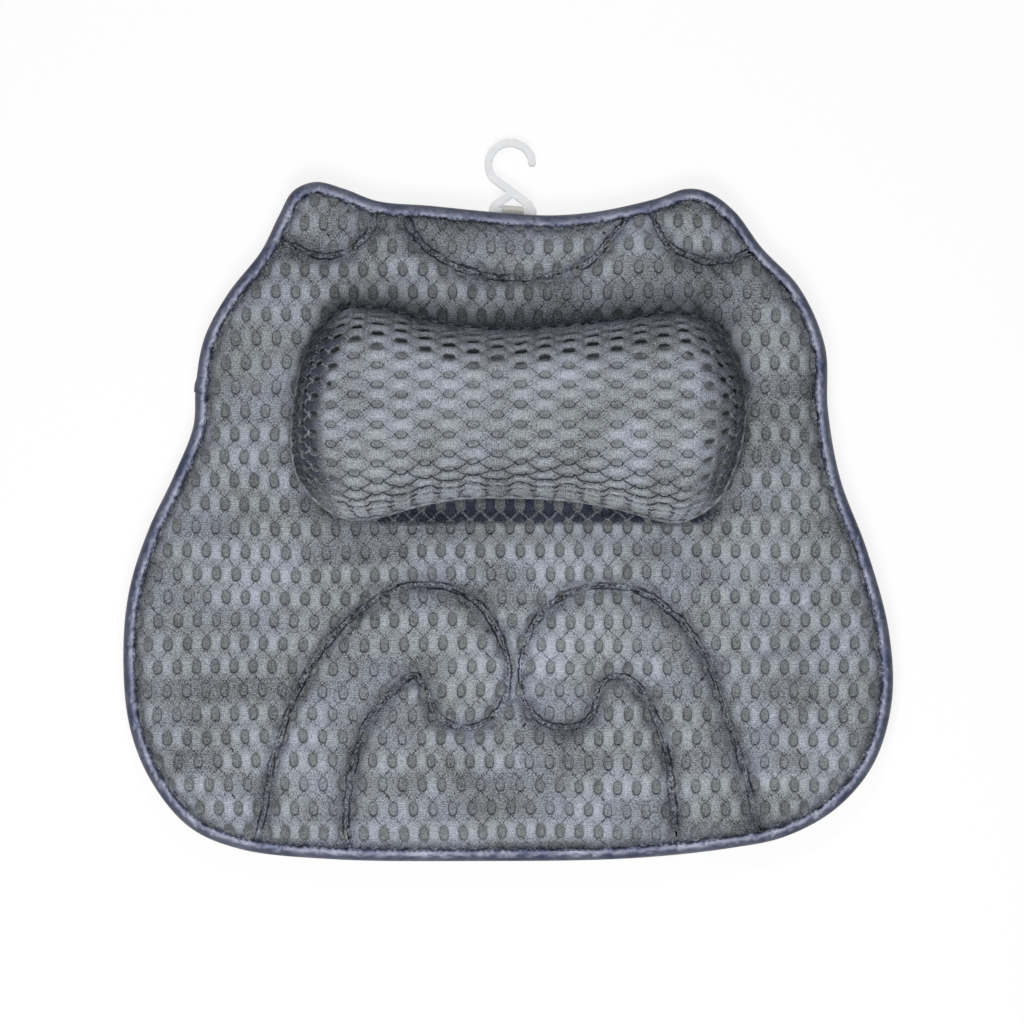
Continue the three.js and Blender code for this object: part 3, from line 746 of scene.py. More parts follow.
# The pillow's dome: its fabric runs out from a straight spine and down to the welt.
coverInset = 2 * pillow["weltRadius"] + 0.1
stationOffset = pillowRail["at"] + pillowRail["left"] * coverInset - pillowMiddle


def spineNear(places):
    return np.column_stack([
        np.clip(places[:, 0], -pillow["spineHalf"], pillow["spineHalf"]), np.zeros(len(places))
    ])


# The point of the spine nearest each place, the way out from it, and how far off the outline lies that way.
def spineReach(places):
    spine = spineNear(places)
    out = places - spine
    away = np.linalg.norm(out, axis=1)
    direction = out / np.maximum(away, 1e-9)[:, None]
    reach = np.zeros(len(places))
    for sign in (1, -1):
        line = np.argsort(stationOffset[:, 0])
        line = line[sign * stationOffset[line, 1] > 0]
        straight = (np.abs(places[:, 0]) <= pillow["spineHalf"]) & (sign * places[:, 1] >= 0)
        far = np.abs(stationOffset[line, 1])
        reach[straight] = np.interp(places[straight, 0], stationOffset[line, 0], far)
        end = sign * stationOffset[:, 0] > pillow["spineHalf"]
        ray = stationOffset[end] - np.array([sign * pillow["spineHalf"], 0])
        turn = np.arctan2(ray[:, 1], sign * ray[:, 0])
        order = np.argsort(turn)
        fan = sign * places[:, 0] > pillow["spineHalf"]
        wanted = np.arctan2(out[fan, 1], sign * out[fan, 0])
        reach[fan] = np.interp(wanted, turn[order], np.linalg.norm(ray, axis=1)[order])
    return spine, direction, away, reach


# Lengths along the dome's section, for a few half widths, so that fabric keeps its size on the slope.
sectionShares = np.linspace(0, 1, 240) ** 0.5
sectionReaches = np.linspace(40, 72, 17)


def domeRise(share):  # the height over the seam at a share of the way from the spine to the edge
    return pillow["dome"] * (1 - np.clip(share, 0, 1) ** pillow["power"]) ** (1 / pillow["power"])


sectionRises = np.diff(domeRise(sectionShares))
sectionRuns = np.array([
    np.concatenate([[0], np.cumsum(np.hypot(np.diff(sectionShares * reach), sectionRises))])
    for reach in sectionReaches
])


def shareAtRun(run, reach):  # how far out a fabric length gets, as a share of the way to the edge
    spot = (reach - sectionReaches[0]) / (sectionReaches[1] - sectionReaches[0])
    spot = np.clip(spot, 0, len(sectionReaches) - 1.001)
    low = spot.astype(int)
    mix = (spot - low)[:, None]
    runs = sectionRuns[low] * (1 - mix) + sectionRuns[low + 1] * mix
    beyond = np.clip((runs < run[:, None]).sum(axis=1), 1, len(sectionShares) - 1)
    rows = np.arange(len(run))
    before, after = runs[rows, beyond - 1], runs[rows, beyond]
    part = np.clip((run - before) / np.maximum(after - before, 1e-9), 0, 1)
    return sectionShares[beyond - 1] * (1 - part) + sectionShares[beyond] * part, runs[:, -1]


# Towards the welt the cover is gathered, least of all at its ends: more knit goes into each millimetre.
gather = {"zone": 52.0, "tightest": 4.4, "loosest": 1.6}


def gatherRoot(direction):  # the square root of how tight the knit is at the welt, that way out
    longSide = smooth(np.abs(direction[:, 1]), 0.15, 0.8)
    return np.sqrt(gather["loosest"] + (gather["tightest"] - gather["loosest"]) * longSide)


def domeRun(run, total, root):  # how far down the dome a length of knit gets
    start = total - gather["zone"]
    inZone = np.clip(run - start, 0, None)
    rate = (root - 1) / (gather["zone"] * root)
    return np.where(run < start, run, start + inZone / (1 + rate * inZone))


def overDome(flat):  # fabric places to points on the dome, with what is left of the dome before the welt
    spine, direction, run, reach = spineReach(flat)
    total = shareAtRun(run, reach)[1]
    run = domeRun(run, total, gatherRoot(direction))
    share = shareAtRun(run, reach)[0]
    plan = spine + direction * (share * reach)[:, None]
    swell = 0.9 * waves(flat, (70, 50), 41, 10)
    level = pillow["seam"] + domeRise(share) * (1 + swell * smooth(total - run, 4, 30) / pillow["dome"])
    return np.column_stack([plan + pillowMiddle, level]), total - run


# The cover's own relief, and where it is painted darker as shade: reach inside the welt and share, per side.
cover = {
    "dimple": 1.25,
    "puff": 0.4,
    "edgePuff": 0.8,
    "pucker": 0.6,
    "puckerLength": 7.0,
    "puckerReach": 8.0,
    "dimpledFrom": (1, 5),
    "puffFrom": (2, 14),
    "tightFrom": (50, 22),
    "gatheredFrom": (70, 32),  # run left to the welt where the lower side's gathers start, and are full
    "gatheredBelow": (-8, -26),  # and how far below the pillow's middle
    "gatheredWithin": (118, 98),
    "inner": 3.0,
    "innerShares": (0, 0.05, 0.14, 0.3, 0.55, 0.86),
    "drawnLeft": (24, 13, 0.95),
    "drawnRight": (27, 6, 0.85),
    "drawnTop": (30, 10, 0.44),
    "drawnCrest": (5, 2, 0.75),
    "drawnBottom": (3, 0.5, 0.3),
}


# Painted shade on the pillow cover: its left and right walls, its top and upper edge, and a little of its
# bottom are darker, as they fall in shade.
def pillowShade(places):
    across = nearest(pillowRail, places)[0]
    outward = -pillowRail["left"][stationsNear(pillowRail, places)]
    uneven = 1.6 * waves(places, (17, 17), 311, 24)
    clear = np.ones(len(places))
    east, north = outward.T
    sides = {
        "drawnLeft": -east, "drawnRight": east, "drawnTop": north, "drawnCrest": north, "drawnBottom": -north,
    }
    for key, facing in sides.items():
        far, close, share = cover[key]
        clear *= 1 - share * smooth(facing, 0.35, 0.9) * smooth(across + uneven, far, close)
    return 1 - clear


def coverFullness(extra):  # the same for the cover, over its own flat pattern
    far = np.max(sectionRuns[-1]) + extra
    low, nodes, shape = gridOf(np.array([pillow["spineHalf"] + far, far]), settling["coverStep"])
    points, left = overDome(nodes)
    hold = np.where(left < settling["heldWelt"], 1.0, settling["hold"]).reshape(shape)
    rest = points + np.column_stack([np.zeros((len(nodes), 2)), 0.25 * waves(nodes, (20, 20), 92, 24)])
    return creasesOf(settled("coverSheet", rest.reshape(*shape, 3), hold)), low


def makePillowCover():
    shift = np.array(airMesh["pillowShift"])
    extra = gather["zone"] * (math.sqrt(gather["tightest"]) - 1)
    reach = np.array([np.max(sectionRuns[-1]) + extra, pillow["width"] + extra])
    flat, sunk, faces = latticeSheet(-reach, reach, shift[::-1], lambda at: np.ones(len(at), bool))
    # This fabric lies a quarter turn round.
    turned = np.column_stack([flat[:, 1] + shift[0], -flat[:, 0] + shift[1]])
    left = overDome(turned)[1]
    flat, sunk, faces, used = trimmed(flat, sunk, faces, np.where(left > 0, 1.0, -1.0))
    turned, left = turned[used], left[used]
    loops = openLoops(faces)
    rim = loops[0]
    print("cover", len(faces), "faces", len(rim), "on the rim", len(loops) - 1, "holes")
    for k in set(rim) | set(np.where(left < 0)[0]):  # to the welt
        for _ in range(3):
            spine, direction, run, edge = spineReach(turned[k:k + 1])
            total = shareAtRun(run, edge)[1] + gather["zone"] * (gatherRoot(direction) - 1)
            turned[k] = spine[0] + direction[0] * total[0]
    points, left = overDome(turned)
    step = 0.4
    alongX = overDome(turned + [step, 0])[0] - points
    alongY = overDome(turned + [0, step])[0] - points
    normal = np.cross(alongX, alongY)
    normal /= np.maximum(np.linalg.norm(normal, axis=1), 1e-9)[:, None]
    ease = smooth(left, *cover["dimpledFrom"])
    between = np.cos(2 * np.pi * (flat[:, 0] / cellSize[0] + 0.5 * np.round(flat[:, 1] / cellSize[1])))
    tight = smooth(left, *cover["tightFrom"])
    puff = cover["puff"] + cover["edgePuff"] * tight
    puff *= smooth(left, *cover["puffFrom"])
    points -= normal * (ease * cover["dimple"] * (1 + 0.5 * tight) * sunk + puff * between)[:, None]
    fullness, low = coverFullness(extra)
    points += sampled(fullness, low, settling["coverStep"], turned) * smooth(left, 0.5, 4)[:, None]
    hemRun = nearest(pillowRail, points[:, :2])[1]
    pucker = ripplesAlong(hemRun, 51, cover["puckerLength"])
    pucker *= np.exp(-((left / cover["puckerReach"]) ** 2)) * smooth(left, 0, 2)
    points += normal * (cover["pucker"] * pucker)[:, None]
    drawn = pillowShade(points[:, :2])
    east, north = (points[:, :2] - pillowMiddle).T
    lower = smooth(north, *cover["gatheredBelow"]) * smooth(np.abs(east), *cover["gatheredWithin"])
    gathered = smooth(left, *cover["gatheredFrom"]) * lower
    spine, direction, away, _ = spineReach(points[rim, :2] - pillowMiddle)
    rings = []
    for share in cover["innerShares"]:  # the cover's inner face
        inner = spine + direction * ((away - cover["inner"]) * (1 - share))[:, None]
        rise = (pillow["dome"] - cover["inner"]) / pillow["dome"] * domeRise(1 - share)
        rise -= 0.2 if share == 0 else 0
        rings.append(np.column_stack([inner + pillowMiddle, np.full(len(rim), pillow["seam"] + rise)]))
    points, faces = closedBy(points, faces, rim, rings)
    uv = np.vstack([flat / cellSize] + [(flat / cellSize)[rim]] * len(cover["innerShares"]))
    drawn = np.concatenate([drawn] + [drawn[rim]] * len(cover["innerShares"]))
    gathered = np.concatenate([gathered] + [gathered[rim]] * len(cover["innerShares"]))
    return meshPiece("pillowCover", points, faces, uv, drawn=drawn, gathered=gathered)


# The binding: satin tape folded round the pad's edge, sewn down and puckered by its stitches.
tape = {
    "width": 7.5,
    "thickness": 0.8,
    "under": 12.0,
    "topOverEdge": 1.3,
    "foldShare": 0.9,
    "crown": 0.7,
    "crownAt": 5.0,
    "step": 1.2,
    "puckerDepth": 0.5,
    "puckerLength": 7.0,
    "lapShare": (-0.395, 0.2),
    "lapLength": 9.0,
    "outerShade": 0.74,  # painted shade: how dark its outer half, its fold and its puckers' valleys are
    "foldShade": 0.4,
    "valleyShade": 0.5,
}


# Rows of section points along a rail: profileAt(runs) gives, per row, inset and height of each point.
def sweptRing(rail, start, total, profileAt, step, closedLoop):
    count = round(total / step)
    runs = start + np.linspace(0, total, count, endpoint=not closedLoop)
    insets, heights = profileAt(runs)
    rows = insets.shape[1]
    flat = np.stack([onRail(rail, runs, insets[:, k]) for k in range(rows)], axis=1)
    points = np.concatenate([flat, heights[:, :, None]], axis=2).reshape(-1, 3)
    bands = len(runs) if closedLoop else len(runs) - 1
    faces = bandFaces(bands, rows, len(runs))
    if not closedLoop:
        faces.append(tuple(range(rows)))
        faces.append(tuple(range(len(runs) * rows - 1, (len(runs) - 1) * rows - 1, -1)))
    around = np.arange(rows) / rows
    uv = np.column_stack([np.repeat(runs, rows), np.tile(around, len(runs))])
    return points, faces, uv


def makeBinding():
    over = pad["edgeTop"] + tape["topOverEdge"]
    under = tape["under"]
    middle = (over + under) / 2
    half = (over - under) / 2
    thick = tape["thickness"]
    fold = np.radians([90, 68, 45, 22, 0, -30, -60, -90])
    topInsets = tape["width"] + np.array([0, -0.8, -1.7, -2.6, -3.5, -4.3])
    underInsets = np.array([3.4, 5.4, tape["width"]])
    outerInset = np.concatenate([topInsets, half * tape["foldShare"] * (1 - np.cos(fold)), underInsets])
    outerLevel = np.concatenate([
        np.full(len(topInsets), over), middle + half * np.sin(fold), np.full(len(underInsets), under)
    ])
    outerLevel[:2] -= (0.5, 0.15)
    innerInset = outerInset[::-1] + thick * (outerInset[::-1] < 3)
    innerLevel = middle + (outerLevel[::-1] - middle) * (1 - thick / half)
    insets, levels = np.concatenate([outerInset, innerInset]), np.concatenate([outerLevel, innerLevel])
    isOuter = np.arange(len(insets)) < len(outerInset)
    onFace = smooth(np.abs(levels - middle), 1.2, half) * isOuter
    up = np.sign(levels - middle)
    lapRun = nearest(outline, np.array([tape["lapShare"]]) * padSize)[1][0]
    start = lapRun - tape["lapLength"] / 2
    paintedShades = []

    def section(runs):
        shape = (len(runs), len(insets))
        across = np.tile(insets * 1.3, len(runs)) + 40 * np.tile(up, len(runs))
        places = np.column_stack([np.repeat(runs, len(insets)), across])
        ripple = waves(places, (tape["puckerLength"], 8.0), 61, 24).reshape(shape)
        fine = waves(places, (tape["puckerLength"] * 0.45, 5.0), 64, 24).reshape(shape)
        slow = waves(places, (38, 30), 62, 10).reshape(shape)
        lift = smooth(runs, start + outline["length"], lapRun + outline["length"])[:, None]
        inner = smooth(insets, 1.5, 4.5)
        bulge = (tape["puckerDepth"] * (0.45 + 0.55 * inner) * (ripple + 0.45 * fine) + 0.3 * slow) * onFace
        crown = tape["crown"] * np.exp(-(((insets - tape["crownAt"]) / 1.6) ** 2)) * isOuter * (up > 0)
        level = levels + up * (bulge + 1.0 * lift * isOuter) + 0.25 * lift * up + crown
        wander = 0.5 * ripplesAlong(runs, 63, 17)[:, None] * smooth(insets, 4, 7)
        # The tape's painted shade: dark at its stitch line and fold, on its outer half and in its puckers'
        # valleys.
        stitched = np.exp(-(((insets - tape["width"]) / 1.3) ** 2)) * (0.75 + 0.35 * fine)
        ridgeAt = tape["crownAt"] + 0.5 * ripple
        outer = tape["outerShade"] * smooth(ridgeAt - insets, 0.2, 2.2)
        outside = tape["foldShade"] * np.exp(-((levels - middle) / 1.6) ** 2) * (insets < 2)
        valley = tape["valleyShade"] * smooth(-(ripple + 0.5 * fine), 0.2, 1.3) * inner
        paintedShades.append(np.clip(stitched + outer + outside + valley, 0, 1) * np.ones(shape))
        return insets - 0.7 * lift * (insets < 1.5) + wander, level

    total = outline["length"] + tape["lapLength"]
    points, faces, uv = sweptRing(outline, start, total, section, tape["step"], False)
    return meshPiece("edgeBinding", points, faces, uv * [1 / 10, 1], drawn=paintedShades[0].ravel())


frontPanel = makeFrontPanel()
print("front panel made", len(frontPanel.data.polygons))
pillowCover = makePillowCover()
print("pillow cover made", len(pillowCover.data.polygons))
edgeBinding = makeBinding()
print("binding made", len(edgeBinding.data.polygons))

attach(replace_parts(frontPanel, "front_panel"), "pad")
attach(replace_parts(pillowCover, "pillow_cover"), "pad")
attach(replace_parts(edgeBinding, "edge_binding"), "pad")


back = {"under": 13.15, "top": 15.2, "dimple": 0.7, "seamRise": 0.9, "inset": 2.4}


def makeBackPanel():
    flat, places, inset, sunk, faces, rim = quiltedSheet(back["inset"], 71)
    away = seamFields(places)[0]
    ripple = 0.25 * waves(places, quilt["swellLength"], 73)
    rise = back["seamRise"] * np.exp(-((away / 2.2) ** 2)) + np.abs(ripple) * smooth(inset, 10, 40)
    points = np.column_stack([places, back["under"] + rise + back["dimple"] * sunk * smooth(inset, 6, 9)])
    points, faces = closedUnder(points, faces, rim, [(back["inset"], back["top"])], outline)
    uv = np.vstack([flat / cellSize, (flat / cellSize)[rim]])
    return meshPiece("backPanel", points, faces, uv)


spacer = {"inset": 12.6, "under": 15.7, "top": 19.5, "dimple": 0.5}


def makeSpacerCore():
    flat, places, inset, sunk, faces, rim = quiltedSheet(spacer["inset"], 81)
    points = np.column_stack([places, spacer["top"] - spacer["dimple"] * sunk])
    points, faces = closedUnder(points, faces, rim, [(spacer["inset"], spacer["under"])], outline)
    return meshPiece("spacerCore", points, faces, np.vstack([flat / cellSize, (flat / cellSize)[rim]]))


# Rings round the pillow, each at an inset and then a share of the way to its spine.
def pillowRings(stations, insets, shares, levels):
    runs = np.linspace(0, pillowRail["length"], stations, endpoint=False)
    rings = []
    for ringInset, share, level in zip(insets, shares, levels):
        flat = onRail(pillowRail, runs, ringInset) - pillowMiddle
        flat = flat + (spineNear(flat) - flat) * np.reshape(share, (-1, 1))
        rings.append(np.column_stack([flat + pillowMiddle, np.broadcast_to(level, stations)]))
    return runs, rings


def ringBody(name, runs, rings):  # a closed body over rings, flat at both ends
    stations = len(runs)
    faces = bandFaces(len(rings) - 1, stations)
    faces.append(tuple(range(stations - 1, -1, -1)))
    faces.append(tuple(range((len(rings) - 1) * stations, len(rings) * stations)))
    points = np.vstack(rings)
    gaps = [np.linalg.norm(b - a, axis=1).mean() for a, b in zip(rings, rings[1:])]
    drop = np.concatenate([[0], np.cumsum(gaps)])
    uv = np.column_stack([np.tile(runs, len(rings)), np.repeat(drop, stations)]) / cellSize
    return meshPiece(name, points, faces, uv)


pillowUnderside = {
    "foot": 0.3,
    "thickness": 1.6,
    "pucker": 0.45,
    "puckerLength": 9.0,
    "stations": 300,
    "rings": 9,
}


def makePillowBack():
    stations = pillowUnderside["stations"]
    turn = np.linspace(0, 1, pillowUnderside["rings"])
    rim = pillow["seam"] - 0.35
    drop = rim - pillow["under"]
    runs = np.linspace(0, pillowRail["length"], stations, endpoint=False)
    ripple = pillowUnderside["pucker"] * ripplesAlong(runs, 91, pillowUnderside["puckerLength"])
    shares = [pillowUnderside["foot"] * (1 - math.cos(t * math.pi / 2)) for t in turn]
    levels = [rim - drop * math.sin(t * math.pi / 2) for t in turn]
    insets = [coverInset + ripple * math.sin(t * math.pi) for t in turn]
    outer = pillowRings(stations, insets, shares, levels)[1]
    thick = pillowUnderside["thickness"]
    innerLevels = [max(level, pillow["under"] + thick) for level in levels]
    inner = pillowRings(stations, [coverInset + thick] * len(turn), shares, innerLevels)[1]
    return ringBody("pillowBack", runs, outer[::-1] + inner)


stuffing = {"gap": 3.4, "under": 28.3, "lump": 0.5, "stations": 240}


def makePillowFilling():
    stations = stuffing["stations"]
    inset = coverInset + stuffing["gap"]
    shares = [0.3, 0.16, 0.06] + [0, 0.02, 0.06, 0.12, 0.2, 0.3, 0.45, 0.6, 0.75, 0.88]
    rise = (pillow["dome"] - stuffing["gap"]) / pillow["dome"]
    levels = [stuffing["under"], stuffing["under"] + 2.4, stuffing["under"] + 7.5]
    levels += [pillow["seam"] + rise * float(domeRise(1 - share)) for share in shares[3:]]
    runs = np.linspace(0, pillowRail["length"], stations, endpoint=False)
    lumps = [stuffing["lump"] * (1 + ripplesAlong(runs, 95 + k, 30)) for k in range(len(shares))]
    rings = pillowRings(stations, [inset + lump for lump in lumps], shares, levels)[1]
    return ringBody("pillowFilling", runs, rings)


welt = {"sides": 12, "step": 1.3, "uneven": 0.06, "sway": 0.25}


def makeWelt():
    radius = pillow["weltRadius"]
    turn = np.linspace(0, 2 * np.pi, welt["sides"], endpoint=False)

    def section(runs):
        places = np.column_stack([runs, runs * 0])
        uneven = 1 + welt["uneven"] * waves(places, (6, 6), 97, 8)[:, None]
        inset = radius + radius * np.cos(turn)[None] * uneven
        level = pillow["seam"] + radius * np.sin(turn)[None] * uneven
        return inset, level + welt["sway"] * waves(places, (40, 40), 98, 8)[:, None]

    points, faces, uv = sweptRing(pillowRail, 0, pillowRail["length"], section, welt["step"], True)
    outward = -pillowRail["left"][stationsNear(pillowRail, points[:, :2])]
    drawn = 0.1 + 0.85 * smooth(outward[:, 1], -0.2, 0.7)  # painted shade: the welt is darker all round, most on its upper side
    return meshPiece("pillowWelt", points, faces, uv * [1 / 10, 1], drawn=drawn)


# Lockstitch thread: short dark stitches that dip into the cloth at both ends.
thread = {
    "pitch": 3.4,
    "length": 2.5,
    "radius": 0.3,
    "dip": 0.6,
    "sides": 6,
    "feel": 1.2,  # how far before and after a stitch the cloth's slope is felt
    "steepest": 0.6,
    "seamLift": 0.25,
    "seamEnds": 9.0,  # the seams' ends that lie under the binding have no stitches
    "hemLift": 0.12,
    "hemInset": 1.2,  # from the binding's inner edge
}


# One small curved capsule per place, lying along its way ahead.
def stitchRow(places, ahead, levels, slopes):
    sides = thread["sides"]
    shares = np.array([-0.5, -0.32, 0, 0.32, 0.5])
    fat = np.array([0.35, 0.95, 1.0, 0.95, 0.35]) * thread["radius"]
    turn = np.linspace(0, 2 * np.pi, sides, endpoint=False)
    points, faces = [], []
    for place, way, level, slope in zip(places, ahead, levels, slopes):
        start = len(points)
        side = np.array([-way[1], way[0]])
        for share, radius in zip(shares, fat):
            middle = place + way * share * thread["length"]
            height = level + slope * share * thread["length"] - thread["dip"] * (2 * share) ** 2
            for angle in turn:
                flat = middle + side * radius * math.cos(angle)
                points.append((flat[0], flat[1], height + radius * math.sin(angle)))
        for ring in range(len(shares) - 1):
            for k in range(sides):
                a, b = start + ring * sides + k, start + ring * sides + (k + 1) % sides
                faces.append((a, b, b + sides, a + sides))
        faces.append(tuple(range(start + sides - 1, start - 1, -1)))
        faces.append(tuple(range(start + (len(shares) - 1) * sides, start + len(shares) * sides)))
    return points, faces


def stitchesAlong(rail, inset, lift, heightAt, skipEnds=0.0):
    count = int((rail["length"] - 2 * skipEnds) / thread["pitch"])
    runs = skipEnds + (np.arange(count) + 0.5) * (rail["length"] - 2 * skipEnds) / count
    picks = np.clip(np.searchsorted(rail["along"], runs), 0, len(rail["along"]) - 1)
    places = rail["at"][picks] + rail["left"][picks] * inset
    ahead = rail["ahead"][picks]
    before, after = (heightAt(places + ahead * sign * thread["feel"]) + lift for sign in (-1, 1))
    slopes = np.clip((after - before) / (2 * thread["feel"]), -thread["steepest"], thread["steepest"])
    return stitchRow(places, ahead, (before + after) / 2, slopes)


def joined(parts):
    points, faces = [], []
    for morePoints, moreFaces in parts:
        faces += [tuple(k + len(points) for k in face) for face in moreFaces]
        points += morePoints
    return points, faces


def surfaceFinder(piece, down=True):  # the height of a finished piece's surface at places on the pad
    tree = BVHTree.FromObject(piece, bpy.context.evaluated_depsgraph_get())

    def heightAt(places):
        found = []
        for x, y in places:
            start = Vector(((x + padMiddle[0]) * mm, (y + padMiddle[1]) * mm, 0.2 if down else -0.1))
            hit = tree.ray_cast(start, Vector((0, 0, -1 if down else 1)))[0]
            found.append(hit.z / mm if hit else np.nan)
        found = np.array(found)
        return np.where(np.isnan(found), pad["edgeTop"], found)

    return heightAt


def makeSeamThreads():
    heightAt = surfaceFinder(frontPanel)
    rows = [
        stitchesAlong(rail, 0, thread["seamLift"], heightAt, thread["seamEnds"]) for rail in seams.values()
    ]
    return meshPiece("seamThread", *joined(rows))


def makeHemThreads():
    heightAt = surfaceFinder(edgeBinding)
    rows = [stitchesAlong(outline, tape["width"] - thread["hemInset"], thread["hemLift"], heightAt)]
    return meshPiece("hemThread", *joined(rows))


backPanel = makeBackPanel()
print("back panel made", len(backPanel.data.polygons))
spacerCore = makeSpacerCore()
pillowBack = makePillowBack()
pillowFilling = makePillowFilling()
pillowWelt = makeWelt()
seamThread = makeSeamThreads()
hemThread = makeHemThreads()
print("core, pillow back, filling, welt and threads made")

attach(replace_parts(backPanel, "back_panel"), "pad")
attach(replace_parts(spacerCore, "spacer_core"), "pad")
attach(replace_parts(pillowBack, "pillow_back"), "pad")
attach(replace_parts(pillowFilling, "pillow_filling"), "pad")
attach(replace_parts(pillowWelt, "pillow_welt"), "pad")
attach(seamThread, "pad")
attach(hemThread, "pad")


def startPiece(name, add, **settings):  # a fresh primitive on its own, selected and in edit mode
    if bpy.context.object and bpy.context.object.mode != "OBJECT":
        bpy.ops.object.mode_set(mode="OBJECT")
    bpy.ops.object.select_all(action="DESELECT")
    add(**settings)
    piece = bpy.context.object
    piece.name = name
    bpy.ops.object.mode_set(mode="EDIT")
    bpy.ops.mesh.select_all(action="SELECT")
    return piece


def endPiece(piece, smoothAngle=40):  # merged, facing out, with its place in its mesh
    bpy.ops.object.mode_set(mode="EDIT")
    bpy.ops.mesh.select_all(action="SELECT")
    bpy.ops.mesh.remove_doubles(threshold=0.00001)
    bpy.ops.mesh.normals_make_consistent(inside=False)
    bpy.ops.object.mode_set(mode="OBJECT")
    piece.data.transform(piece.matrix_world)
    piece.matrix_world.identity()
    bpy.ops.object.shade_smooth_by_angle(angle=math.radians(smoothAngle))
    return piece


def applied(piece, kind, **settings):  # one modifier, set and applied
    bpy.ops.object.mode_set(mode="OBJECT")
    bpy.context.view_layer.objects.active = piece
    modifier = piece.modifiers.new(kind.lower(), kind)
    for key, value in settings.items():
        setattr(modifier, key, value)
    bpy.ops.object.modifier_apply(modifier=modifier.name)


# Suction cups, moulded in one with a neck and a mushroom head. Radius and height of each step, in turn.
suctionCup = {
    "facets": 64,
    "steps": [
        (3.0, 3.75), (8.0, 3.3), (11.6, 2.55), (14.5, 1.9), (17.4, 0.95), (19.4, 0.0), (20.7, 0.0),
        (21.0, 0.3), (21.0, 0.9), (20.6, 1.3), (18.6, 2.6), (15.0, 4.8), (11.0, 6.7), (7.4, 8.05),
        (6.2, 8.6), (3.6, 8.6), (3.0, 8.9), (3.0, 10.1), (3.3, 10.4), (5.9, 10.4), (6.2, 10.7),
        (6.0, 11.4), (4.9, 12.5), (4.3, 12.8), (1.6, 12.8),
    ],
}


def makeSuctionCup(k):
    low, high = boxOf(f"suction_cup_{k}")
    middle = (low + high) / 2 * mm
    radius, height = suctionCup["steps"][0]
    cup = startPiece(
        f"suctionCup{k}", bpy.ops.mesh.primitive_circle_add, vertices=suctionCup["facets"],
        radius=radius * mm, fill_type="NGON", location=(middle[0], middle[1], height * mm),
    )
    bpy.ops.mesh.select_mode(type="EDGE")
    for nextRadius, nextHeight in suctionCup["steps"][1:]:
        bpy.ops.mesh.extrude_edges_move(TRANSFORM_OT_translate={"value": (0, 0, (nextHeight - height) * mm)})
        share = nextRadius / radius
        centre = (middle[0], middle[1], nextHeight * mm)
        bpy.ops.transform.resize(value=(share, share, 1), center_override=centre)
        radius, height = nextRadius, nextHeight
    bpy.ops.mesh.edge_face_add()
    return endPiece(cup, 50)


# Webbing straps: sewn down at both feet, raised between them, with a hole for the cup's neck.
webStrap = {
    "thickness": 1.2,
    "width": 18,
    "holeRadius": 3.6,
    "holeDepth": 6,
    "holeHeight": 9.5,
    "profile": [
        (-25, 11.6), (-16.6, 11.6), (-15.4, 11.4), (-10.6, 9.15), (-9.4, 8.9), (9.4, 8.9), (10.6, 9.15),
        (15.4, 11.4), (16.6, 11.6), (25, 11.6),
    ],
    "columns": 8,
    "edgeRound": 0.3,
}


def makeStrap(k):
    low, high = boxOf(f"suction_cup_{k}")
    middle = (low + high) / 2 * mm
    first, level = webStrap["profile"][0]
    end = (middle[0], middle[1] + first * mm, level * mm)
    strap = startPiece(
        f"cupStrap{k}", bpy.ops.mesh.primitive_grid_add, x_subdivisions=webStrap["columns"], y_subdivisions=1,
        size=webStrap["width"] * mm, location=end,
    )
    bpy.ops.transform.resize(value=(1, 0.0001, 1), center_override=end)
    bpy.ops.mesh.remove_doubles(threshold=0.0001)
    bpy.ops.mesh.select_mode(type="EDGE")
    bpy.ops.mesh.select_all(action="SELECT")
    for (y, z), (nextY, nextZ) in zip(webStrap["profile"], webStrap["profile"][1:]):
        way = (0, (nextY - y) * mm, (nextZ - z) * mm)
        bpy.ops.mesh.extrude_edges_move(TRANSFORM_OT_translate={"value": way})
    applied(strap, "SOLIDIFY", thickness=webStrap["thickness"] * mm, offset=1)
    bpy.ops.object.select_all(action="DESELECT")
    bpy.ops.mesh.primitive_cylinder_add(
        vertices=48, radius=webStrap["holeRadius"] * mm, depth=webStrap["holeDepth"] * mm,
        location=(middle[0], middle[1], webStrap["holeHeight"] * mm),
    )
    cutter = bpy.context.object
    applied(strap, "BOOLEAN", operation="DIFFERENCE", object=cutter, solver="EXACT")
    bpy.data.objects.remove(cutter)
    applied(
        strap, "BEVEL", width=webStrap["edgeRound"] * mm, segments=2, limit_method="ANGLE",
        angle_limit=math.radians(50),
    )
    strap.select_set(True)
    return endPiece(strap, 40)


boxStitch = {
    "half": 7,
    "near": 17.5,  # from the cup's middle
    "far": 23.5,
    "pitch": 3.1,
    "level": 11.45,
}


def strapThreads():  # a box stitch on each foot of each strap
    half, near, far = boxStitch["half"], boxStitch["near"], boxStitch["far"]
    corners = [(-half, near), (half, near), (half, far), (-half, far), (-half, near)]
    parts = []
    for k in range(1, 7):
        low, high = boxOf(f"suction_cup_{k}")
        middle = ((low + high) / 2)[:2] - padMiddle
        for end in (-1, 1):
            places, ahead = [], []
            for (x0, y0), (x1, y1) in zip(corners, corners[1:] + corners[3:1:-1]):
                way = np.array([x1 - x0, (y1 - y0) * end])
                reach = np.linalg.norm(way)
                if reach < 1:
                    continue
                count = int(reach / boxStitch["pitch"])
                for step in range(count):
                    share = (step + 0.5) / count
                    places.append(middle + np.array([x0, y0 * end]) + way * share)
                    ahead.append(way / reach)
            parts.append(stitchRow(places, ahead, [boxStitch["level"]] * len(places), [0] * len(places)))
    points, faces = joined(parts)
    # These stitches show from below.
    points = [(x, y, 2 * boxStitch["level"] - z) for x, y, z in points]
    return meshPiece("strapThread", points, faces)


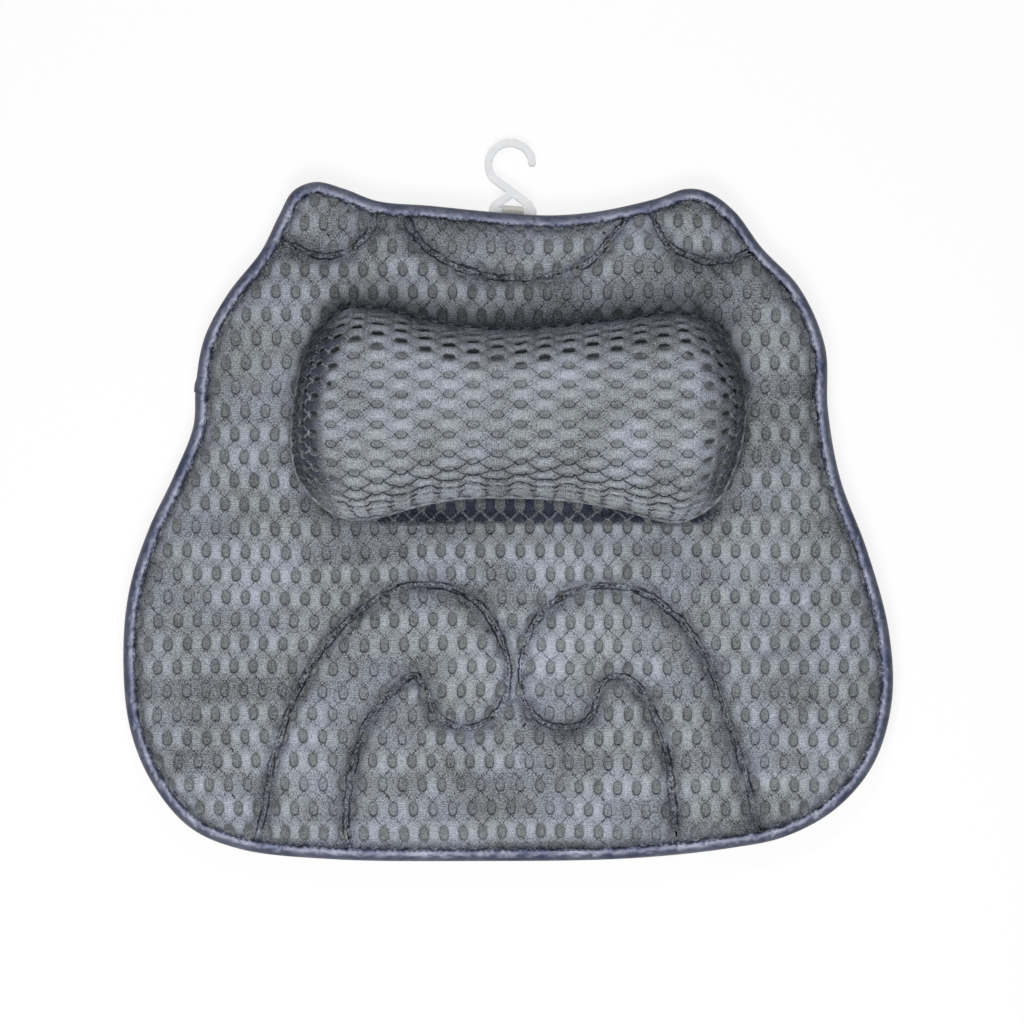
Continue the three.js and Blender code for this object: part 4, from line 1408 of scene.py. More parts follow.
# The hook: moulded polypropylene, an open arc on a stem, with two legs that close on a round bar.
hook = {
    "barHalf": 12.1,
    "barRadius": 2.0,
    "armWidth": 4.6,
    "thickness": 4.0,
    "arcRadius": 13.2,
    "arcMiddle": (-3.5, 28.4),
    "arcDegrees": (9, 225),
    "stemBend": (9.4, 4.4),
    "legBend": (-10.8, 2.6),
    "legTop": (-1.0, 11.2),
    "clearance": 0.3,
    "voxel": 0.28,
}
hookJoint = next(joint for joint in frame["joints"] if joint["name"] == "hook_swing")
hookAt = Vector(hookJoint["pos_m"])
hookTurn = math.atan2(hookJoint["axis"][1], hookJoint["axis"][0])
# At rest the hook droops until its tip nearly lies on the floor.
hookDroop = math.asin(
    (hookAt.z / mm - hook["thickness"] / 2 - hook["clearance"]) / (hook["arcMiddle"][1] + hook["arcRadius"])
)


def hookRod(start, end, name):  # a straight arm between two points of the hook's plane
    run = Vector((end[0] - start[0], end[1] - start[1], 0))
    rod = startPiece(name, bpy.ops.mesh.primitive_cube_add, size=mm, location=(0, 0, 0))
    sizes = (run.length, hook["armWidth"], hook["thickness"])
    bpy.ops.transform.resize(value=sizes, center_override=(0, 0, 0))
    bpy.ops.object.mode_set(mode="OBJECT")
    turn = math.atan2(run.y, run.x)
    rod.matrix_world = rod.matrix_world.Rotation(turn, 4, "Z")
    rod.location = ((start[0] + end[0]) / 2 * mm, (start[1] + end[1]) / 2 * mm, 0)
    return rod


def makeHook():
    arcX, arcY = hook["arcMiddle"]
    firstTurn, lastTurn = (math.radians(d) for d in hook["arcDegrees"])
    arcStart, arcEnd = (
        (arcX + hook["arcRadius"] * math.cos(turn), arcY + hook["arcRadius"] * math.sin(turn))
        for turn in (firstTurn, lastTurn)
    )
    arm = startPiece("hangingHook", bpy.ops.mesh.primitive_plane_add, size=mm, location=(0, 0, 0))
    bpy.ops.transform.resize(value=(hook["armWidth"], hook["thickness"], 1), center_override=(0, 0, 0))
    bpy.ops.object.mode_set(mode="OBJECT")
    arm.data.transform(arm.matrix_world.Rotation(math.radians(90), 4, "X"))
    arm.data.transform(arm.matrix_world.Rotation(firstTurn, 4, "Z"))
    arm.location = (arcStart[0] * mm, arcStart[1] * mm, 0)
    bpy.ops.object.mode_set(mode="EDIT")
    bpy.ops.mesh.select_all(action="SELECT")
    bpy.ops.mesh.spin(steps=40, angle=firstTurn - lastTurn, center=(arcX * mm, arcY * mm, 0), axis=(0, 0, 1))
    bpy.ops.mesh.select_all(action="SELECT")
    bpy.ops.mesh.normals_make_consistent(inside=False)
    bpy.ops.object.mode_set(mode="OBJECT")
    corners = [(hook["barHalf"], 0), (-hook["barHalf"], 0)]
    rods = [
        hookRod(arcEnd, hook["stemBend"], "stem"), hookRod(hook["stemBend"], corners[0], "foot"),
        hookRod(corners[1], hook["legBend"], "otherFoot"), hookRod(hook["legBend"], hook["legTop"], "leg"),
    ]
    for x, y in corners + [hook["stemBend"], hook["legBend"], arcEnd, arcStart]:
        bpy.ops.mesh.primitive_cylinder_add(
            vertices=40, radius=hook["armWidth"] / 2 * mm, depth=hook["thickness"] * mm,
            location=(x * mm, y * mm, 0),
        )
        rods.append(bpy.context.object)
    bpy.ops.mesh.primitive_cylinder_add(
        vertices=32, radius=hook["barRadius"] * mm, depth=2 * hook["barHalf"] * mm,
        rotation=(0, math.radians(90), 0),
    )
    rods.append(bpy.context.object)
    for rod in rods:
        rod.select_set(True)
    arm.select_set(True)
    bpy.context.view_layer.objects.active = arm
    bpy.ops.object.join()
    bpy.ops.object.transform_apply(location=True, rotation=True, scale=True)
    applied(arm, "REMESH", mode="VOXEL", voxel_size=hook["voxel"] * mm)
    applied(arm, "SMOOTH", factor=0.5, iterations=14)
    place = arm.matrix_world.Translation(hookAt) @ arm.matrix_world.Rotation(hookTurn, 4, "Z")
    arm.data.transform(place @ arm.matrix_world.Rotation(-hookDroop, 4, "X"))
    arm.select_set(True)
    return endPiece(arm, 60)


ribbon = {
    "width": 13,
    "thickness": 0.7,
    "tail": 13,
    "tailTop": 11.7,
    "meet": 6.2,  # where its two ends come together, from the bar
    "gap": 0.05,
    "hole": 2.3,
    "steps": 26,
    "columns": 14,
}


def makeRibbon():  # a woven ribbon round the hook's bar, its two ends laid together under the binding
    barHeight = hookAt.z / mm
    hole, thick = ribbon["hole"], ribbon["thickness"]
    drop = ribbon["tailTop"] - barHeight
    turn = np.linspace(math.pi / 2, -math.pi / 2, ribbon["steps"])
    reach = hole + thick
    arc = [(reach * math.cos(a), reach * math.sin(a)) for a in turn]
    tail, meet = -ribbon["tail"], -ribbon["meet"]
    outside = [(tail, drop)] + arc
    outside += [(-5.0, drop - 3.6), (-8.0, drop - 2 * thick), (tail, drop - 2 * thick)]
    inner = [(tail, drop - thick), (meet, drop - thick)]
    inner += [(hole * math.cos(a), hole * math.sin(a)) for a in turn]
    inner += [(meet, drop - thick - ribbon["gap"]), (tail, drop - thick - ribbon["gap"])]
    profile = np.array(outside + inner[::-1])
    count = len(profile)
    columns = np.linspace(-ribbon["width"] / 2, ribbon["width"] / 2, ribbon["columns"])
    points = np.array([
        (x, y, z + 0.12 * math.sin(x * 1.3) * (y > -2)) for x in columns for y, z in profile
    ])
    faces = bandFaces(len(columns) - 1, count)
    faces += [tuple(range(count)), tuple(range((len(columns) - 1) * count, len(columns) * count))]
    cosine, sine = math.cos(hookTurn), math.sin(hookTurn)
    turned = np.column_stack([
        points[:, 0] * cosine - points[:, 1] * sine + hookAt.x / mm,
        points[:, 0] * sine + points[:, 1] * cosine + hookAt.y / mm,
        points[:, 2] + barHeight,
    ])
    return meshPiece("ribbonLoop", turned, faces, middle=0)


cups = [makeSuctionCup(k) for k in range(1, 7)]
straps = [makeStrap(k) for k in range(1, 7)]
strapThread = strapThreads()
print("cups and straps made")
hangingHook = makeHook()
ribbonLoop = makeRibbon()
print("hook and ribbon made", len(hangingHook.data.polygons))

for k, (cup, strap) in enumerate(zip(cups, straps), 1):
    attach(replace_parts(cup, f"suction_cup_{k}"), f"cup_{k}")
    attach(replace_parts(strap, f"cup_strap_{k}"), "pad")
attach(strapThread, "pad")
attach(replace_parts(hangingHook, "hanging_hook"), "hook")
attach(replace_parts(ribbonLoop, "hang_loop"), "pad")


# Materials. Hex colours are sRGB, and pattern sizes are real ones in millimetres.
def linear(hexColour):
    parts = [int(hexColour[k:k + 2], 16) / 255 for k in (1, 3, 5)]
    return [p / 12.92 if p <= 0.04045 else ((p + 0.055) / 1.055) ** 2.4 for p in parts] + [1]


# A shader node with its settings, by attribute or socket, and what feeds its sockets. A math or mix node's
# kind is followed by its operation or data type. A node given as a source feeds from its first output in use.
def addNode(tree, kind, settings=None, links=None):
    kind, *choice = kind.split()
    node = tree.nodes.new("ShaderNode" + kind)
    if choice:
        setattr(node, "data_type" if kind == "Mix" else "operation", choice[0])
    for key, value in (settings or {}).items():
        if isinstance(key, str) and hasattr(node, key):
            setattr(node, key, value)
        else:
            node.inputs[key].default_value = value
    for key, source in (links or {}).items():
        sockets = [socket for socket in getattr(source, "outputs", [source]) if socket.enabled]
        tree.links.new(sockets[0], node.inputs[key])
    return node


# Settings of a map range that rises or falls by an even S.
rising = {"interpolation_type": "SMOOTHSTEP"}
falling = rising | {"To Min": 1, "To Max": 0}


def newMaterial(name):
    material = bpy.data.materials.new(name)
    material.use_nodes = True
    tree = material.node_tree
    tree.nodes.clear()
    return material, tree


def finishMaterial(tree, shader):
    addNode(tree, "OutputMaterial", {}, {"Surface": shader})


# Warp-knitted polyester air mesh: a matt, pale lattice of two knitted layers, grey-green open ovals in
# staggered rows with a dark rim, painted darker on its lower side as shade, fine net lines from oval to oval,
# and navy painted shade, partly knit drawn together by stitches, where the shade attribute is high.
knit = {
    "pale": "#969b9e",
    "lavender": "#9a9eaa",
    "oval": "#7a7f80",
    # lip: the ovals' dark rim, painted darker on their lower side as shade
    "lip": "#3b3f49",
    "netLine": "#41454f",
    # painted shade colours: the lattice's navy, the ovals' slits and the seams' creases
    "drawnPale": "#2b2f40",
    "slitShade": "#14161d",
    "crease": "#1f222e",
    "tickPitch": 2.3,  # the short slanting stitches along the net lines
    "rungPitch": 1.4,  # the cross threads between neighbouring ovals
    "hatchPitch": 1.25,  # the back layer's slanting threads, really 0.5 mm, drawn coarser so that they show
    "wobble": 1.1,
}


# lowerSide is the way to an oval's lip in its cell. Where the shade attribute is high, dark slits of painted
# shade open on each oval's upper side, away from its lip.
def makeAirMesh(name, lowerSide, ovalSize, ovalShare, slitDepth, slitReach, tightLine, dullness):
    halfWidth, halfHeight = airMesh["ovalHalfWidth"] * ovalSize, airMesh["ovalHalfHeight"] * ovalSize
    netSlope = (airMesh["rowPitch"] - 2 * halfHeight) / (airMesh["pitch"] / 2)
    material, tree = newMaterial(name)
    uv = addNode(tree, "UVMap", {"uv_map": "fabric"})
    split = addNode(tree, "SeparateXYZ", {}, {0: uv})
    place = addNode(tree, "TexCoord").outputs["Object"]
    rowHalf = addNode(tree, "Math ADD", {1: 0.5}, {0: split.outputs[1]})
    row = addNode(tree, "Math FLOOR", {}, {0: rowHalf})
    rowPart = addNode(tree, "Math SUBTRACT", {}, {0: split.outputs[1], 1: row})
    stagger = addNode(tree, "Math MULTIPLY_ADD", {1: 0.5}, {0: row, 2: split})
    shifted = addNode(tree, "Math ADD", {1: 0.5}, {0: stagger})
    cellPart = addNode(tree, "Math FRACT", {}, {0: shifted})
    evenX = addNode(
        tree, "Math MULTIPLY_ADD", {1: airMesh["pitch"], 2: -airMesh["pitch"] / 2}, {0: cellPart}
    )
    evenY = addNode(tree, "Math MULTIPLY", {1: airMesh["rowPitch"]}, {0: rowPart})
    # Yarns wander by up to half a millimetre, so that no two ovals are alike.
    drift = addNode(tree, "TexNoise", {"Scale": 230, "Detail": 2.0}, {0: place})
    driftParts = addNode(tree, "SeparateColor", {}, {0: drift.outputs["Color"]})
    driftX = addNode(tree, "Math MULTIPLY_ADD", {1: knit["wobble"]}, {0: driftParts, 2: evenX})
    driftY = addNode(tree, "Math MULTIPLY_ADD", {1: knit["wobble"]}, {0: driftParts.outputs[1], 2: evenY})
    x = addNode(tree, "Math SUBTRACT", {1: knit["wobble"] / 2}, {0: driftX})
    y = addNode(tree, "Math SUBTRACT", {1: knit["wobble"] / 2}, {0: driftY})
    absX = addNode(tree, "Math ABSOLUTE", {}, {0: x})
    absY = addNode(tree, "Math ABSOLUTE", {}, {0: y})
    # The oval: a rounded ellipse, 1 at its rim.
    ovalX = addNode(tree, "Math MULTIPLY", {1: 1 / halfWidth}, {0: absX})
    ovalY = addNode(tree, "Math MULTIPLY", {1: 1 / halfHeight}, {0: absY})
    powerX = addNode(tree, "Math POWER", {1: 2.4}, {0: ovalX})
    powerY = addNode(tree, "Math POWER", {1: 2.4}, {0: ovalY})
    powerSum = addNode(tree, "Math ADD", {}, {0: powerX, 1: powerY})
    evenRadius = addNode(tree, "Math POWER", {1: 1 / 2.4}, {0: powerSum})
    drawn = addNode(tree, "Attribute", {"attribute_name": "drawn"}).outputs["Fac"]
    isTight = addNode(
        tree, "MapRange", {"From Min": 0.03, "From Max": 0.15, "To Max": slitDepth}, {0: drawn}
    )
    tightWide = addNode(tree, "Math MULTIPLY_ADD", {1: -0.28, 2: 1.0}, {0: isTight})
    radius = addNode(tree, "Math MULTIPLY", {}, {0: evenRadius, 1: tightWide})
    inOval = addNode(tree, "MapRange", falling | {"From Min": 0.84, "From Max": 1.06}, {0: radius})
    fromRim = addNode(tree, "Math SUBTRACT", {1: 0.99}, {0: radius})
    rimAway = addNode(tree, "Math ABSOLUTE", {}, {0: fromRim})
    rim = addNode(tree, "MapRange", falling | {"From Min": 0.04, "From Max": 0.2}, {0: rimAway})
    # How far down from the oval's middle a point lies, in millimetres. The lip is on the lower side, and the
    # rim is painted darker there as shade.
    cellAt = addNode(tree, "CombineXYZ", {}, {0: x, 1: y})
    down = addNode(tree, "VectorMath DOT_PRODUCT", {1: (*lowerSide, 0)}, {0: cellAt})
    lowerSideShade = addNode(
        tree, "MapRange", rising | {"From Min": -3.5, "From Max": 3.5, "To Min": 0.42, "To Max": 0.8},
        {0: down},
    )
    upperSide = addNode(
        tree, "MapRange", rising | {"From Min": slitReach, "From Max": slitReach - 1.6}, {0: down}
    )
    # The net's two fine lines from each oval's tip to the next row's tips, broken by the yarn over them.
    lineY = addNode(tree, "Math MULTIPLY_ADD", {1: netSlope, 2: halfHeight}, {0: absX})
    lineAway = addNode(tree, "Math SUBTRACT", {}, {0: absY, 1: lineY})
    lineGap = addNode(tree, "Math ABSOLUTE", {}, {0: lineAway})
    net = addNode(tree, "MapRange", falling | {"From Min": 0.15, "From Max": 0.7}, {0: lineGap})
    netBand = addNode(tree, "MapRange", falling | {"From Min": 0.9, "From Max": 1.9}, {0: lineGap})
    broken = addNode(tree, "TexNoise", {"Scale": 330, "Detail": 1.0}, {0: place})
    netShows = addNode(
        tree, "MapRange", {"From Min": 0.38, "From Max": 0.62, "To Min": 0.25, "To Max": 0.85}, {0: broken}
    )
    netFaint = addNode(tree, "Math MULTIPLY", {1: 0.85}, {0: net})
    netLoose = addNode(tree, "Math MULTIPLY", {}, {0: netFaint, 1: netShows})
    netWide = addNode(tree, "MapRange", falling | {"From Min": 0.5, "From Max": 1.5}, {0: lineGap})
    gathered = addNode(tree, "Attribute", {"attribute_name": "gathered"}).outputs["Fac"]
    veryDrawn = addNode(tree, "MapRange", {"From Min": 0.55, "From Max": 0.85, "To Max": 0.5}, {0: drawn})
    tightNet = addNode(tree, "Math MULTIPLY", {1: 0.65}, {0: isTight})
    netTight = addNode(tree, "Math MAXIMUM", {}, {0: veryDrawn, 1: tightNet})
    netWider = addNode(tree, "Math MAXIMUM", {}, {0: netTight, 1: gathered})
    netStrong = addNode(tree, "Math MULTIPLY", {}, {0: netWide, 1: netWider})
    netHere = addNode(tree, "Math MAXIMUM", {}, {0: netLoose, 1: netStrong})
    ticksAt = addNode(tree, "Math MULTIPLY_ADD", {1: 1.1}, {0: absX, 2: absY})
    ticksTurn = addNode(tree, "Math MULTIPLY", {1: 2 * math.pi / knit["tickPitch"]}, {0: ticksAt})
    ticks = addNode(tree, "Math SINE", {}, {0: ticksTurn})
    ticksShow = addNode(tree, "Math MULTIPLY", {}, {0: ticks, 1: netBand})
    ticksHere = addNode(tree, "Math MULTIPLY", {}, {0: ticksShow, 1: netShows})
    rungTurn = addNode(tree, "Math MULTIPLY", {1: 2 * math.pi / knit["rungPitch"]}, {0: y})
    rungs = addNode(tree, "Math SINE", {}, {0: rungTurn})
    betweenX = addNode(tree, "MapRange", rising | {"From Min": 2.9, "From Max": 4.2}, {0: absX})
    betweenY = addNode(tree, "MapRange", rising | {"From Min": 5.4, "From Max": 2.8}, {0: absY})
    between = addNode(tree, "Math MULTIPLY", {}, {0: betweenX, 1: betweenY})
    rungsHere = addNode(tree, "Math MULTIPLY", {}, {0: rungs, 1: between})
    # The back layer shows through as a slanting hatch, and the yarn is uneven.
    hatchAt = addNode(tree, "Math MULTIPLY_ADD", {1: 0.8}, {0: evenX, 2: evenY})
    hatchTurn = addNode(tree, "Math MULTIPLY", {1: 2 * math.pi / knit["hatchPitch"]}, {0: hatchAt})
    hatch = addNode(tree, "Math SINE", {}, {0: hatchTurn})
    otherAt = addNode(tree, "Math MULTIPLY_ADD", {1: -0.8}, {0: evenX, 2: evenY})
    otherTurn = addNode(tree, "Math MULTIPLY", {1: 2 * math.pi / knit["hatchPitch"]}, {0: otherAt})
    otherHatch = addNode(tree, "Math SINE", {}, {0: otherTurn})
    grain = addNode(tree, "TexNoise", {"Scale": 1050, "Detail": 3.0, "Roughness": 0.7}, {0: place})
    clouds = addNode(tree, "TexNoise", {"Scale": 30, "Detail": 3.0, "Roughness": 0.55}, {0: place})
    bandsAt = addNode(tree, "Mapping", {"Scale": (9, 34, 20)}, {0: place})
    bands = addNode(tree, "TexNoise", {"Scale": 1.0, "Detail": 2.0}, {0: bandsAt})
    # Along a row the two layers lie together or apart, by stretches. Apart, ovals fade and the knit is dull.
    dullX = addNode(tree, "Math MULTIPLY", {1: 0.13}, {0: split})
    dullY = addNode(tree, "Math MULTIPLY", {1: 0.47}, {0: row})
    dullAt = addNode(tree, "CombineXYZ", {}, {0: dullX, 1: dullY})
    dullNoise = addNode(tree, "TexNoise", {"Scale": 1.0, "Detail": 2.0, "Roughness": 0.45}, {0: dullAt})
    dull = addNode(
        tree, "MapRange", rising | {"From Min": 0.48, "From Max": 0.58, "To Max": dullness}, {0: dullNoise}
    )
    # Colour: lattice in two tones, ovals, lips and net lines. Where the shade attribute is high, the lattice
    # is painted navy as shade, the ovals show dark slits of painted shade and the net lines turn lighter.
    tone = addNode(tree, "MapRange", {"From Min": 0.38, "From Max": 0.62}, {0: clouds})
    lattice = addNode(tree, "Mix RGBA", {6: linear(knit["pale"]), 7: linear(knit["lavender"])}, {0: tone})
    latticeMix = addNode(tree, "Mix RGBA", {7: linear(knit["drawnPale"])}, {0: drawn, 6: lattice})
    # Painted shade: dark slits on the ovals' upper sides where the shade attribute is high.
    slitShare = addNode(tree, "Math MULTIPLY", {}, {0: isTight, 1: upperSide})
    ovalTone = addNode(tree, "Mix RGBA", {6: linear(knit["oval"]), 7: linear(knit["slitShade"])}, {0: slitShare})
    ovalLoose = addNode(tree, "Math MULTIPLY_ADD", {1: 1 - ovalShare, 2: ovalShare}, {0: isTight})
    ovalFull = addNode(tree, "Math MULTIPLY", {}, {0: inOval, 1: ovalLoose})
    ovalLeft = addNode(tree, "Math MULTIPLY_ADD", {1: -0.85, 2: 1.0}, {0: gathered})
    ovalGathered = addNode(tree, "Math MULTIPLY", {}, {0: ovalFull, 1: ovalLeft})
    ovalClear = addNode(tree, "Math MULTIPLY_ADD", {1: -0.6, 2: 1.0}, {0: dull})
    ovalHere = addNode(tree, "Math MULTIPLY", {}, {0: ovalGathered, 1: ovalClear})
    ovalMix = addNode(tree, "Mix RGBA", {}, {0: ovalHere, 6: latticeMix, 7: ovalTone})
    isNavy = addNode(tree, "MapRange", {"From Min": 0.4, "From Max": 0.85}, {0: drawn})
    lineLight = addNode(tree, "Math MAXIMUM", {}, {0: isNavy, 1: isTight})
    lineTone = addNode(tree, "Mix RGBA", {6: linear(knit["netLine"]), 7: linear(tightLine)}, {0: lineLight})
    netMix = addNode(tree, "Mix RGBA", {}, {0: netHere, 6: ovalMix, 7: lineTone})
    rimFull = addNode(tree, "Math MULTIPLY", {}, {0: rim, 1: lowerSideShade})
    rimGathered = addNode(tree, "Math MULTIPLY", {}, {0: rim, 1: gathered})
    rimShare = addNode(
        tree, "Math MULTIPLY_ADD", {1: 0.25, "use_clamp": True}, {0: rimGathered, 2: rimFull}
    )
    lipTone = addNode(tree, "Mix RGBA", {6: linear(knit["lip"]), 7: linear(tightLine)}, {0: lineLight})
    rimMix = addNode(tree, "Mix RGBA", {}, {0: rimShare, 6: netMix, 7: lipTone})
    # A seam's two creases, about 3.5 mm apart, painted dark as shade in the folds, and the ridge that its
    # stitches leave between them, painted lighter as a highlight.
    seamAway = addNode(tree, "Attribute", {"attribute_name": "seamAway"}).outputs["Fac"]
    seamSide = addNode(tree, "Attribute", {"attribute_name": "seamSide"}).outputs["Fac"]
    sideTurned = addNode(tree, "VectorMath MULTIPLY_ADD", {1: (0.06, 0.09, 0.0)}, {0: seamSide, 2: place})
    seamWander = addNode(tree, "TexNoise", {"Scale": 95, "Detail": 3.0, "Roughness": 0.7}, {0: sideTurned})
    seamWandered = addNode(tree, "Math MULTIPLY_ADD", {1: 6.5}, {0: seamWander, 2: seamAway})
    creaseOff = addNode(tree, "Math SUBTRACT", {1: 1.75 + 3.25}, {0: seamWandered})
    creaseAway = addNode(tree, "Math ABSOLUTE", {}, {0: creaseOff})
    creaseLine = addNode(tree, "MapRange", falling | {"From Min": 0.25, "From Max": 0.95}, {0: creaseAway})
    creaseNoise = addNode(tree, "TexNoise", {"Scale": 75, "Detail": 3.0, "Roughness": 0.6}, {0: sideTurned})
    creaseShows = addNode(
        tree, "MapRange", {"From Min": 0.4, "From Max": 0.56, "To Min": 0.12, "To Max": 0.95},
        {0: creaseNoise},
    )
    isOnSeam = addNode(tree, "Math GREATER_THAN", {1: 0.001}, {0: seamAway})
    creaseFull = addNode(tree, "Math MULTIPLY", {}, {0: creaseLine, 1: creaseShows})
    creaseHere = addNode(tree, "Math MULTIPLY", {}, {0: creaseFull, 1: isOnSeam})
    # Painted shade: a seam's creases are painted dark.
    creaseMix = addNode(tree, "Mix RGBA", {7: linear(knit["crease"])}, {0: creaseHere, 6: rimMix})
    # Painted highlight: the ridge between a seam's creases is painted lighter.
    ridgeHighlight = addNode(
        tree, "MapRange", rising | {"From Min": 0.3, "From Max": 1.3, "To Min": 0.3, "To Max": 0},
        {0: seamAway},
    )
    ridgeHere = addNode(tree, "Math MULTIPLY", {}, {0: ridgeHighlight, 1: isOnSeam})
    # Brightness: 1 plus what the threads, grain, clouds and bands add, and the seam ridge's painted
    # highlight.
    grainSwing = addNode(tree, "Math MULTIPLY_ADD", {1: 3.4, 2: -1.7}, {0: grain})
    grainTight = addNode(tree, "Math MULTIPLY_ADD", {1: 0.35, 2: 1.0}, {0: drawn})
    grainLift = addNode(tree, "Math MULTIPLY", {}, {0: grainSwing, 1: grainTight})
    cloudLift = addNode(tree, "Math MULTIPLY_ADD", {1: 0.7, 2: -0.35}, {0: clouds})
    bandLift = addNode(tree, "Math MULTIPLY_ADD", {1: 0.7, 2: -0.35}, {0: bands})
    tickLift = addNode(tree, "Math MULTIPLY", {1: 0.55}, {0: ticksHere})
    rungLift = addNode(tree, "Math MULTIPLY_ADD", {1: 0.15}, {0: rungsHere, 2: tickLift})
    barLift = addNode(tree, "Math MULTIPLY_ADD", {1: -0.3, 2: 0.3}, {0: dull})
    barHere = addNode(tree, "Math MULTIPLY", {}, {0: between, 1: barLift})
    barAndRungs = addNode(tree, "Math ADD", {}, {0: barHere, 1: rungLift})
    betweenLift = addNode(tree, "Math MULTIPLY_ADD", {1: -0.2}, {0: dull, 2: barAndRungs})
    hatchMore = addNode(tree, "Math MULTIPLY_ADD", {1: 0.08}, {0: otherHatch, 2: betweenLift})
    hatchLift = addNode(tree, "Math MULTIPLY_ADD", {1: 0.08}, {0: hatch, 2: hatchMore})
    lifted = addNode(tree, "Math ADD", {}, {0: grainLift, 1: cloudLift})
    liftedMore = addNode(tree, "Math ADD", {}, {0: lifted, 1: bandLift})
    liftedMost = addNode(tree, "Math ADD", {}, {0: liftedMore, 1: hatchLift})
    liftedGather = addNode(tree, "Math MULTIPLY_ADD", {1: -0.08}, {0: gathered, 2: liftedMost})
    liftedRidge = addNode(tree, "Math ADD", {}, {0: liftedGather, 1: ridgeHere})
    brightness = addNode(tree, "Math ADD", {1: 1.0}, {0: liftedRidge})
    colour = addNode(tree, "Mix RGBA", {"blend_type": "MULTIPLY", 0: 1.0}, {6: creaseMix, 7: brightness})
    # Relief: the net lines lie in, ticks and rungs stand up, the yarn is uneven.
    netIn = addNode(tree, "Math MULTIPLY", {1: -0.8}, {0: netHere})
    tickUp = addNode(tree, "Math MULTIPLY_ADD", {1: 0.3}, {0: ticksHere, 2: netIn})
    rungUp = addNode(tree, "Math MULTIPLY_ADD", {1: 0.2}, {0: rungsHere, 2: tickUp})
    rimUp = addNode(tree, "Math MULTIPLY_ADD", {1: -0.5}, {0: rimShare, 2: rungUp})
    creaseIn = addNode(tree, "Math MULTIPLY_ADD", {1: -1.2}, {0: creaseHere, 2: rimUp})
    grainUp = addNode(tree, "Math MULTIPLY_ADD", {1: 1.2}, {0: grain, 2: creaseIn})
    bump = addNode(tree, "Bump", {"Strength": 0.9, "Distance": 0.4 * mm}, {"Height": grainUp})
    shader = addNode(
        tree, "BsdfPrincipled",
        {"Roughness": 0.85, "Specular IOR Level": 0.2, "Sheen Weight": 0.12, "IOR": 1.45},
        {"Base Color": colour, "Normal": bump},
    )
    finishMaterial(tree, shader)
    return material


# Woven polyester satin tape: slate, with soft bright ridges where it puckers, and painted shade on its outer
# half, in its folds and in its puckers' valleys.
satinTape = {"slate": "#6d7596", "sheen": "#afb4cb", "fold": "#151b36"}


def makeSatin():
    material, tree = newMaterial("satinTape")
    uv = addNode(tree, "UVMap", {"uv_map": "fabric"})
    weaveAt = addNode(tree, "Mapping", {"Scale": (2.2, 40.0, 1.0)}, {0: uv})
    weave = addNode(tree, "TexNoise", {"Scale": 6.0, "Detail": 3.0, "Roughness": 0.6}, {0: weaveAt})
    place = addNode(tree, "TexCoord").outputs["Object"]
    patches = addNode(tree, "TexNoise", {"Scale": 70, "Detail": 2.5, "Roughness": 0.6}, {0: place})
    patchShare = addNode(tree, "MapRange", {"From Min": 0.36, "From Max": 0.64}, {0: patches})
    drawn = addNode(tree, "Attribute", {"attribute_name": "drawn"}).outputs["Fac"]
    base = addNode(
        tree, "Mix RGBA", {6: linear(satinTape["slate"]), 7: linear(satinTape["sheen"])}, {0: patchShare}
    )
    # The tape's painted shade darkens it towards navy.
    shadedSatin = addNode(
        tree, "Mix RGBA", {7: linear(satinTape["fold"])}, {0: drawn, 6: base}
    )
    weaveLift = addNode(tree, "Math MULTIPLY_ADD", {1: 0.9, 2: 0.55}, {0: weave})
    colour = addNode(tree, "Mix RGBA", {"blend_type": "MULTIPLY", 0: 1.0}, {6: shadedSatin, 7: weaveLift})
    bump = addNode(tree, "Bump", {"Strength": 0.6, "Distance": 0.15 * mm}, {"Height": weave})
    shader = addNode(
        tree, "BsdfPrincipled",
        {"Roughness": 0.36, "IOR": 1.5, "Specular IOR Level": 0.65, "Sheen Weight": 0.1},
        {"Base Color": colour, "Normal": bump},
    )
    finishMaterial(tree, shader)
    return material


# A plain woven cloth, matt: warp and weft this many millimetres apart, a little uneven in colour.
def makePlainCloth(name, base, other, spacing, rough, depth):
    material, tree = newMaterial(name)
    place = addNode(tree, "TexCoord").outputs["Object"]
    split = addNode(tree, "SeparateXYZ", {}, {0: place})
    turns = 2 * math.pi / (spacing * mm)
    acrossTurn = addNode(tree, "Math MULTIPLY", {1: turns}, {0: split})
    alongTurn = addNode(tree, "Math MULTIPLY", {1: turns}, {0: split.outputs[1]})
    across = addNode(tree, "Math SINE", {}, {0: acrossTurn})
    along = addNode(tree, "Math SINE", {}, {0: alongTurn})
    weave = addNode(tree, "Math MULTIPLY", {}, {0: across, 1: along})
    clouds = addNode(tree, "TexNoise", {"Scale": 160, "Detail": 3.0}, {0: place})
    weaveShare = addNode(tree, "Math MULTIPLY_ADD", {1: 0.18}, {0: weave, 2: clouds})
    colour = addNode(tree, "Mix RGBA", {6: linear(base), 7: linear(other)}, {0: weaveShare})
    bump = addNode(tree, "Bump", {"Strength": 0.6, "Distance": depth * mm}, {"Height": weave})
    shader = addNode(
        tree, "BsdfPrincipled", {"Roughness": rough, "Specular IOR Level": 0.3, "Sheen Weight": 0.2},
        {"Base Color": colour, "Normal": bump},
    )
    finishMaterial(tree, shader)
    return material


